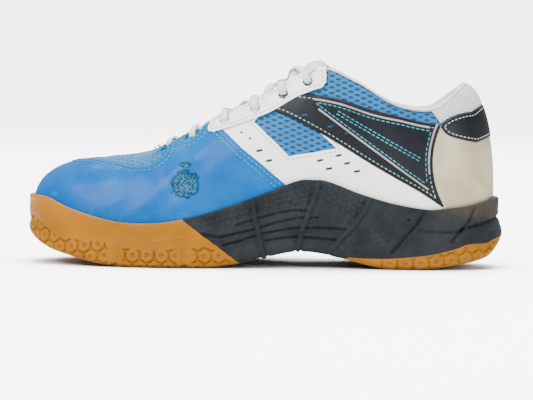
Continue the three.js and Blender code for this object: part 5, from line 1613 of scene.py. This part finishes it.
d = blue.math("MINIMUM", worn(-48.2, 49.5, 8.6, 7.6), worn(-48.5, 61.0, 3.6, 1.6))
spot = blue.math("MULTIPLY", blue.ramp(d, 0.93, 0.86), blue.math("LESS_THAN", y, 0.0))
rim = blue.math("MULTIPLY", blue.math("MULTIPLY", blue.ramp(d, 1.12, 0.96), blue.ramp(d, 0.8, 0.93)),
                blue.math("LESS_THAN", y, 0.0))
speck = blue.node("ShaderNodeTexVoronoi", Vector=mm, Scale=0.95).outputs["Distance"]
cloth_tone = blue.mix(blue.ramp(speck, 0.2, 0.7), (0.035, 0.15, 0.24), (0.004, 0.035, 0.08))
base = blue.mix(spot, base, cloth_tone)
base = blue.mix(blue.math("MULTIPLY", rim, 0.75), base, (0.0, 0.03, 0.07))
blue.colour(base)
blue.roughness(blue.math("ADD", blue.ramp(blue.noise(mm, 0.15, 4), 0.3, 0.7, 0.22, 0.4),
                         blue.math("MULTIPLY", spot, 0.45)))
blue.bump(blue.math("ADD", blue.math("MULTIPLY", blue.noise(mm, 0.22, 6, 0.6), 0.8),
                    blue.math("ADD", blue.math("MULTIPLY", speck, blue.math("MULTIPLY", spot, 1.2)),
                              blue.math("MULTIPLY", rim, -0.8))), 0.45, 0.75)
white = coated("white_synthetic", (0.94, 0.94, 0.92), (0.88, 0.86, 0.78), 0.42, 0.15)
navy = coated("black_synthetic", (0.004, 0.0055, 0.0085), (0.002, 0.003, 0.005), 0.5, 0.03, 0.8, 0.07)
band_black = coated("band_synthetic", (0.005, 0.0065, 0.010), (0.0025, 0.0035, 0.006), 0.42, 0.05, 0.6, 0.05)
cream = coated("cream_synthetic", (0.47, 0.42, 0.27), (0.36, 0.32, 0.19), 0.45, 0.15)


# %% cloths
def cloth(name, light, dark, pitch, deep, weave, fuzz=0.2, rough=0.85, plane="unrolled"):
    f = Finish(name, Roughness=rough, Sheen_Weight=fuzz, Sheen_Roughness=0.5, Specular_IOR_Level=0.3)
    mm = f.cloth_mm() if plane == "unrolled" else f.mm()
    u, v, w = f.parts(mm)
    if plane == "side":
        v = f.math("ADD", w, f.math("MULTIPLY", u, 0.06))
    pu, pv = pitch
    turn = 2 * math.pi
    a = f.math("SINE", f.math("ADD", f.math("MULTIPLY", u, turn / pu / 2),
                              f.math("MULTIPLY", v, turn / pv / 2)))
    b = f.math("SINE", f.math("SUBTRACT", f.math("MULTIPLY", u, turn / pu / 2),
                              f.math("MULTIPLY", v, turn / pv / 2)))
    if weave == "diamond":
        h = f.math("MULTIPLY", f.math("ABSOLUTE", a), f.math("ABSOLUTE", b))
    elif weave == "rib":
        h = f.math("ABSOLUTE", f.math("SINE", f.math("MULTIPLY", v, turn / pv / 2)))
        h = f.math("MULTIPLY", h, f.ramp(f.math("ABSOLUTE", f.math("SINE", f.math("ADD", f.math(
            "MULTIPLY", u, turn / pu / 2), f.math("MULTIPLY", h, 1.2)))), 0.0, 0.6, 0.55, 1.0))
    else:
        h = f.math("MAXIMUM", f.math("ABSOLUTE", f.math("SINE", f.math("MULTIPLY", u, turn / pu / 2))),
                   f.math("ABSOLUTE", f.math("SINE", f.math("MULTIPLY", v, turn / pv / 2))))
    own = f.mm()
    # painted shade: the weave's low lines are darkened towards the dark tone
    tone = f.mix(f.ramp(h, 0.05, 0.6), dark, light)
    if weave == "diamond":
        hole = f.ramp(h, 0.5, 0.8)
        # painted highlight: the threads between the holes are lightened to 1.2 times the light colour
        tone = f.mix(hole, f.mix(f.ramp(h, 0.0, 0.35), tuple(1.2 * c for c in light), light), dark)
        h = f.math("MULTIPLY", hole, -1.0)
    f.colour(f.mix(f.ramp(f.noise(own, 0.08, 5), 0.35, 0.8, 0.0, 0.3), tone, dark))
    f.bump(f.math("ADD", h, f.math("MULTIPLY", f.noise(own, 2.2, 3), 0.35)), deep)
    return f


blue_mesh = cloth("blue_mesh", (0.0, 0.115, 0.29), (0.0, 0.03, 0.09), (7.6, 3.4), 0.5, "diamond", 0.05, 0.6,
                  "side")
toe_mesh = cloth("toe_mesh", (0.0, 0.13, 0.32), (0.0, 0.06, 0.17), (6.0, 3.2), 0.35, "diamond", 0.05, 0.65,
                 "top")
knit = cloth("lining_knit", (0.8, 0.79, 0.75), (0.3, 0.3, 0.29), (1.5, 1.3), 0.4, "rib", 0.3)
tab_knit = cloth("heel_tab_knit", (0.62, 0.61, 0.57), (0.2, 0.2, 0.2), (2.8, 2.0), 0.5, "diamond", 0.3)
tongue_knit = cloth("tongue_knit", (0.82, 0.83, 0.82), (0.3, 0.36, 0.42), (2.6, 1.9), 0.4, "diamond", 0.3)
cotton = cloth("lace_cotton", srgb(240, 239, 233), srgb(175, 174, 168), (1.1, 0.9), 0.3, "rib", 0.3)
bed_cloth = cloth("foot_bed_cloth", (0.035, 0.038, 0.046), (0.008, 0.009, 0.012), (1.3, 1.3), 0.25, "plain",
                  0.2)
board = coated("board_cloth", srgb(222, 216, 196), srgb(190, 182, 158), 0.85, 0.0, 1.4, 0.12)
stiff = coated("stiffener_sheet", srgb(206, 200, 184), srgb(178, 170, 150), 0.7, 0.0, 1.1, 0.08)
foam_mat = coated("collar_foam", srgb(232, 226, 190), srgb(206, 198, 150), 0.9, 0.0, 0.7, 0.2)

# %% rubber, foam, plastics and thread
gum = Finish("gum_rubber", Roughness=0.42, Specular_IOR_Level=0.12)
mm = gum.mm()
x, y, z = gum.parts(mm)
tone = gum.mix(gum.ramp(gum.noise(mm, 0.04, 5), 0.3, 0.7), (0.215, 0.080, 0.001), (0.29, 0.108, 0.002))
# painted highlight: the gum is lightened towards its top edge, from 22 to 42 mm up
tone = gum.mix(gum.ramp(z, 22, 42, 0.0, 0.45), tone, (0.42, 0.165, 0.02))
# painted shade: the gum is darkened within 5 mm of the ground
tone = gum.mix(gum.ramp(z, 5, 0.0, 0.0, 0.35), tone, (0.12, 0.05, 0.01))
tone = gum.mix(gum.math("MULTIPLY", gum.ramp(gum.noise(mm, 0.5, 6, 0.7), 0.62, 0.8), 0.3), tone,
               (0.16, 0.07, 0.01))
# painted shade: the gum darkens where ambient occlusion finds its grooves and corners
painted_corner_shade = gum.node("ShaderNodeAmbientOcclusion", Distance=0.003)
tone = gum.mix(gum.ramp(painted_corner_shade.outputs["AO"], 0.25, 0.85, 0.75, 0.0), tone, (0.09, 0.032, 0.004))
gum.colour(tone)
gum.roughness(gum.ramp(gum.noise(mm, 0.1, 4), 0.3, 0.7, 0.34, 0.55))
gum.bump(gum.math("ADD", gum.noise(mm, 1.2, 4), gum.math("MULTIPLY", gum.noise(mm, 0.2, 4), 1.5)), 0.06)
foam_grey = Finish("charcoal_foam", Roughness=0.75, Specular_IOR_Level=0.12)
mm = foam_grey.mm()
x, y, z = foam_grey.parts(mm)
tone = foam_grey.mix(foam_grey.ramp(foam_grey.noise(mm, 0.06, 5), 0.3, 0.7), (0.009, 0.011, 0.013),
                     (0.017, 0.020, 0.023))
tone = foam_grey.mix(foam_grey.math("MULTIPLY",
                                    foam_grey.ramp(foam_grey.noise(mm, 0.9, 6, 0.75), 0.55, 0.75), 0.45),
                     tone, (0.045, 0.05, 0.053))
tone = foam_grey.mix(foam_grey.math("MULTIPLY", foam_grey.ramp(x, 90, 125),
                                    foam_grey.ramp(z, 26, 36, 0.0, 0.6)), tone,
                     (0.055, 0.045, 0.035))
# painted shade: the foam darkens where ambient occlusion finds its grooves and corners
painted_corner_shade = foam_grey.node("ShaderNodeAmbientOcclusion", Distance=0.003)
tone = foam_grey.mix(foam_grey.ramp(painted_corner_shade.outputs["AO"], 0.2, 0.8, 0.8, 0.0), tone, (0.004, 0.005, 0.006))
foam_grey.colour(tone)
foam_grey.roughness(foam_grey.ramp(foam_grey.noise(mm, 0.3, 4), 0.3, 0.7, 0.6, 0.85))
foam_grey.bump(foam_grey.math("ADD", foam_grey.noise(mm, 1.8, 5, 0.7), foam_grey.math(
    "MULTIPLY", foam_grey.node("ShaderNodeTexVoronoi", Vector=mm, Scale=1.3).outputs["Distance"], 0.5)), 0.14)
plate = coated("hard_plate", (0.012, 0.014, 0.018), (0.005, 0.006, 0.008), 0.28, 0.3, 1.6, 0.03)
gel = coated("gel_pod", srgb(150, 205, 225), srgb(110, 178, 205), 0.3, 0.4, 2.5, 0.05)
tip = coated("clear_tip", srgb(228, 230, 232), srgb(205, 208, 212), 0.18, 0.5, 3.0, 0.02)
teal_thread = coated("teal_thread", (0.03, 0.34, 0.42), (0.015, 0.22, 0.30), 0.6, 0.0, 0.3, 0.08)
pale_thread = coated("pale_thread", (0.30, 0.52, 0.48), (0.2, 0.38, 0.35), 0.6, 0.0, 0.3, 0.08)
white_thread = coated("white_thread", (0.55, 0.53, 0.47), (0.4, 0.38, 0.33), 0.6, 0.0, 0.3, 0.08)
pipe = coated("piping_grey", (0.34, 0.31, 0.32), (0.22, 0.2, 0.21), 0.5, 0.1, 0.7, 0.05)
# painted shade for the vents: dark grey on the white panels, and on the quarter the blue mesh below, darkened
slot_shade_grey = coated("vent_shade", (0.02, 0.05, 0.065), (0.01, 0.025, 0.035), 0.7, 0.0, 0.8, 0.05)
slot_shade_blue = coated("vent_shade_blue", (0.01, 0.05, 0.11), (0.005, 0.02, 0.05), 0.6, 0.0, 0.8, 0.05)
floor_finish = Finish("paper_white", Roughness=0.6)
floor_finish.colour(floor_finish.mix(floor_finish.ramp(floor_finish.noise(floor_finish.mm(), 0.002, 3), 0.3,
                                                       0.7),
                                     (0.93, 0.93, 0.93), (0.96, 0.96, 0.96)))
eye = floor_finish.tree.nodes.new("ShaderNodeLightPath")
floor_finish.shader.inputs["Emission Color"].default_value = (1, 1, 1, 1)
# painted shadow: the floor's glow, seen only by the camera, fades where ambient occlusion finds the shoe
# close by
painted_shadow_mask = floor_finish.node("ShaderNodeAmbientOcclusion", Distance=0.07).outputs["AO"]
painted_light = floor_finish.math("MULTIPLY", eye.outputs["Is Camera Ray"],
                           floor_finish.ramp(painted_shadow_mask, 0.35, 0.98, 0.0, 4.5))
floor_finish.tree.links.new(painted_light,
                            floor_finish.shader.inputs["Emission Strength"])
paper = floor_finish.material


def dress(piece, finish):
    """Gives a piece one finish."""
    piece.data.materials.clear()
    piece.data.materials.append(finish.material)


dress(toe_panel, blue)
dress(vamp, toe_mesh)
dress(cover, cream)
dress(patch, navy)
dress(tab, tab_knit)
dress(lining, knit)
dress(vamp_inside, knit)
dress(foam, foam_mat)
dress(cup, gum)
dress(heel_rubber, gum)
dress(midsole, foam_grey)
dress(bed, bed_cloth)
dress(tongue, tongue_knit)
dress(lace, cotton)
dress(thread["toe_seams"], teal_thread)
dress(thread["heel"], white_thread)
for side, word in ((-1, "medial"), (1, "lateral")):
    dress(meshes[side], blue_mesh)
    dress(pairs["saddle", side], white)
    dress(pairs["quarter", side], navy)
    dress(pairs["band", side], band_black)
    dress(pairs["eyestay", side], white)
    dress(thread["white" + word], white_thread)
    dress(thread["pale" + word], pale_thread)
    dress(thread["teal" + word], teal_thread)
    dress(thread["strip" + word], white_thread)
    dress(slots["light", side], slot_shade_grey)
    dress(slots["dots", side], slot_shade_grey)
    dress(slots["dark", side], slot_shade_blue)
    for key in ("low", "top", "back"):
        dress(piping[side, key], pipe)
kept = {"lasting_board": board, "toe_puff": stiff, "heel_counter_stiffener": stiff, "shank_plate": plate,
        "forefoot_cushion": gel, "heel_cushion": gel, "aglet_medial": tip, "aglet_lateral": tip}
for node, finish in kept.items():
    solid = frame["nodes"][node]
    solid.data.materials.clear()
    solid.data.materials.append(finish.material)
print(len(bpy.data.materials), "materials")

# %% [markdown]
# ## Camera, light and floor
# The shoe stands on a wide pale floor in a pale room. Four wide soft lights stand round it,
# front left, front right, overhead and behind, and the room fills the shadows. The camera
# looks square at the shoe's inner side from two metres off, a little above the sole.

# %% stage, lights and camera
for chosen in list(bpy.context.selected_objects):
    chosen.select_set(False)


def face_to(obj, at):
    obj.rotation_euler = (Vector(at) - obj.location).to_track_quat("-Z", "Y").to_euler()


bpy.ops.mesh.primitive_plane_add(size=60)
floor = bpy.context.active_object
floor.name = floor.data.name = "floor"
floor.data.materials.append(paper)
floor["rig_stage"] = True


def soft_light(name, place, at, size, watts):
    data = bpy.data.lights.new(name, "AREA")
    data.shape, data.size, data.energy = "DISK", size, watts
    lamp = bpy.data.objects.new(name, data)
    bpy.context.scene.collection.objects.link(lamp)
    lamp.location = place
    face_to(lamp, at)


LIGHTS = [
    # name, place, what it points at, width in metres, watts
    ("key_light", (-0.7, -1.2, 1.3), (0, 0, 0.05), 1.2, 60),
    ("side_light", (1.4, -1.3, 0.7), (0, 0, 0.06), 0.9, 22),
    ("top_light", (0, 0.25, 1.7), (0, 0, 0.05), 1.2, 46),
    ("rear_light", (0.3, 1.6, 1.0), (0, 0, 0.05), 1.0, 28),
]
for row in LIGHTS:
    soft_light(*row)
ROOM_FILL = 0.5      # how much the room lights the shoe
ROOM_SEEN = 5.0      # how bright the room looks to the camera
world = bpy.data.worlds.new("pale_room")
bpy.context.scene.world = world
world.use_nodes = True
tree = world.node_tree
tree.nodes["Background"].inputs["Color"].default_value = (0.98, 0.99, 1.0, 1)
eye = tree.nodes.new("ShaderNodeLightPath")
glow = tree.nodes.new("ShaderNodeMapRange")
glow.inputs["To Min"].default_value = ROOM_FILL
glow.inputs["To Max"].default_value = ROOM_SEEN
tree.links.new(eye.outputs["Is Camera Ray"], glow.inputs["Value"])
tree.links.new(glow.outputs[0], tree.nodes["Background"].inputs["Strength"])
lens = bpy.data.cameras.new("camera")
camera = bpy.data.objects.new("camera", lens)
bpy.context.scene.collection.objects.link(camera)
VIEW_DISTANCE, VIEW_RISE = 2.0, math.radians(3.2)
aim = Vector((0.0, 0.0, 0.0386))
camera.location = aim + Vector((0, -VIEW_DISTANCE * math.cos(VIEW_RISE), VIEW_DISTANCE * math.sin(VIEW_RISE)))
face_to(camera, aim)
camera.rotation_euler.rotate_axis("Z", math.radians(0.9))
lens.sensor_width = 36.0
lens.lens = 36.0 * (VIEW_DISTANCE - 0.035) / 0.3182
bpy.context.scene.camera = camera
print("camera at", [round(v, 3) for v in camera.location], "lens", round(lens.lens, 1), "mm")

# %% sizes, and the end
import json
low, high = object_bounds()
print("visual box", [round(v, 4) for v in low], [round(v, 4) for v in high])
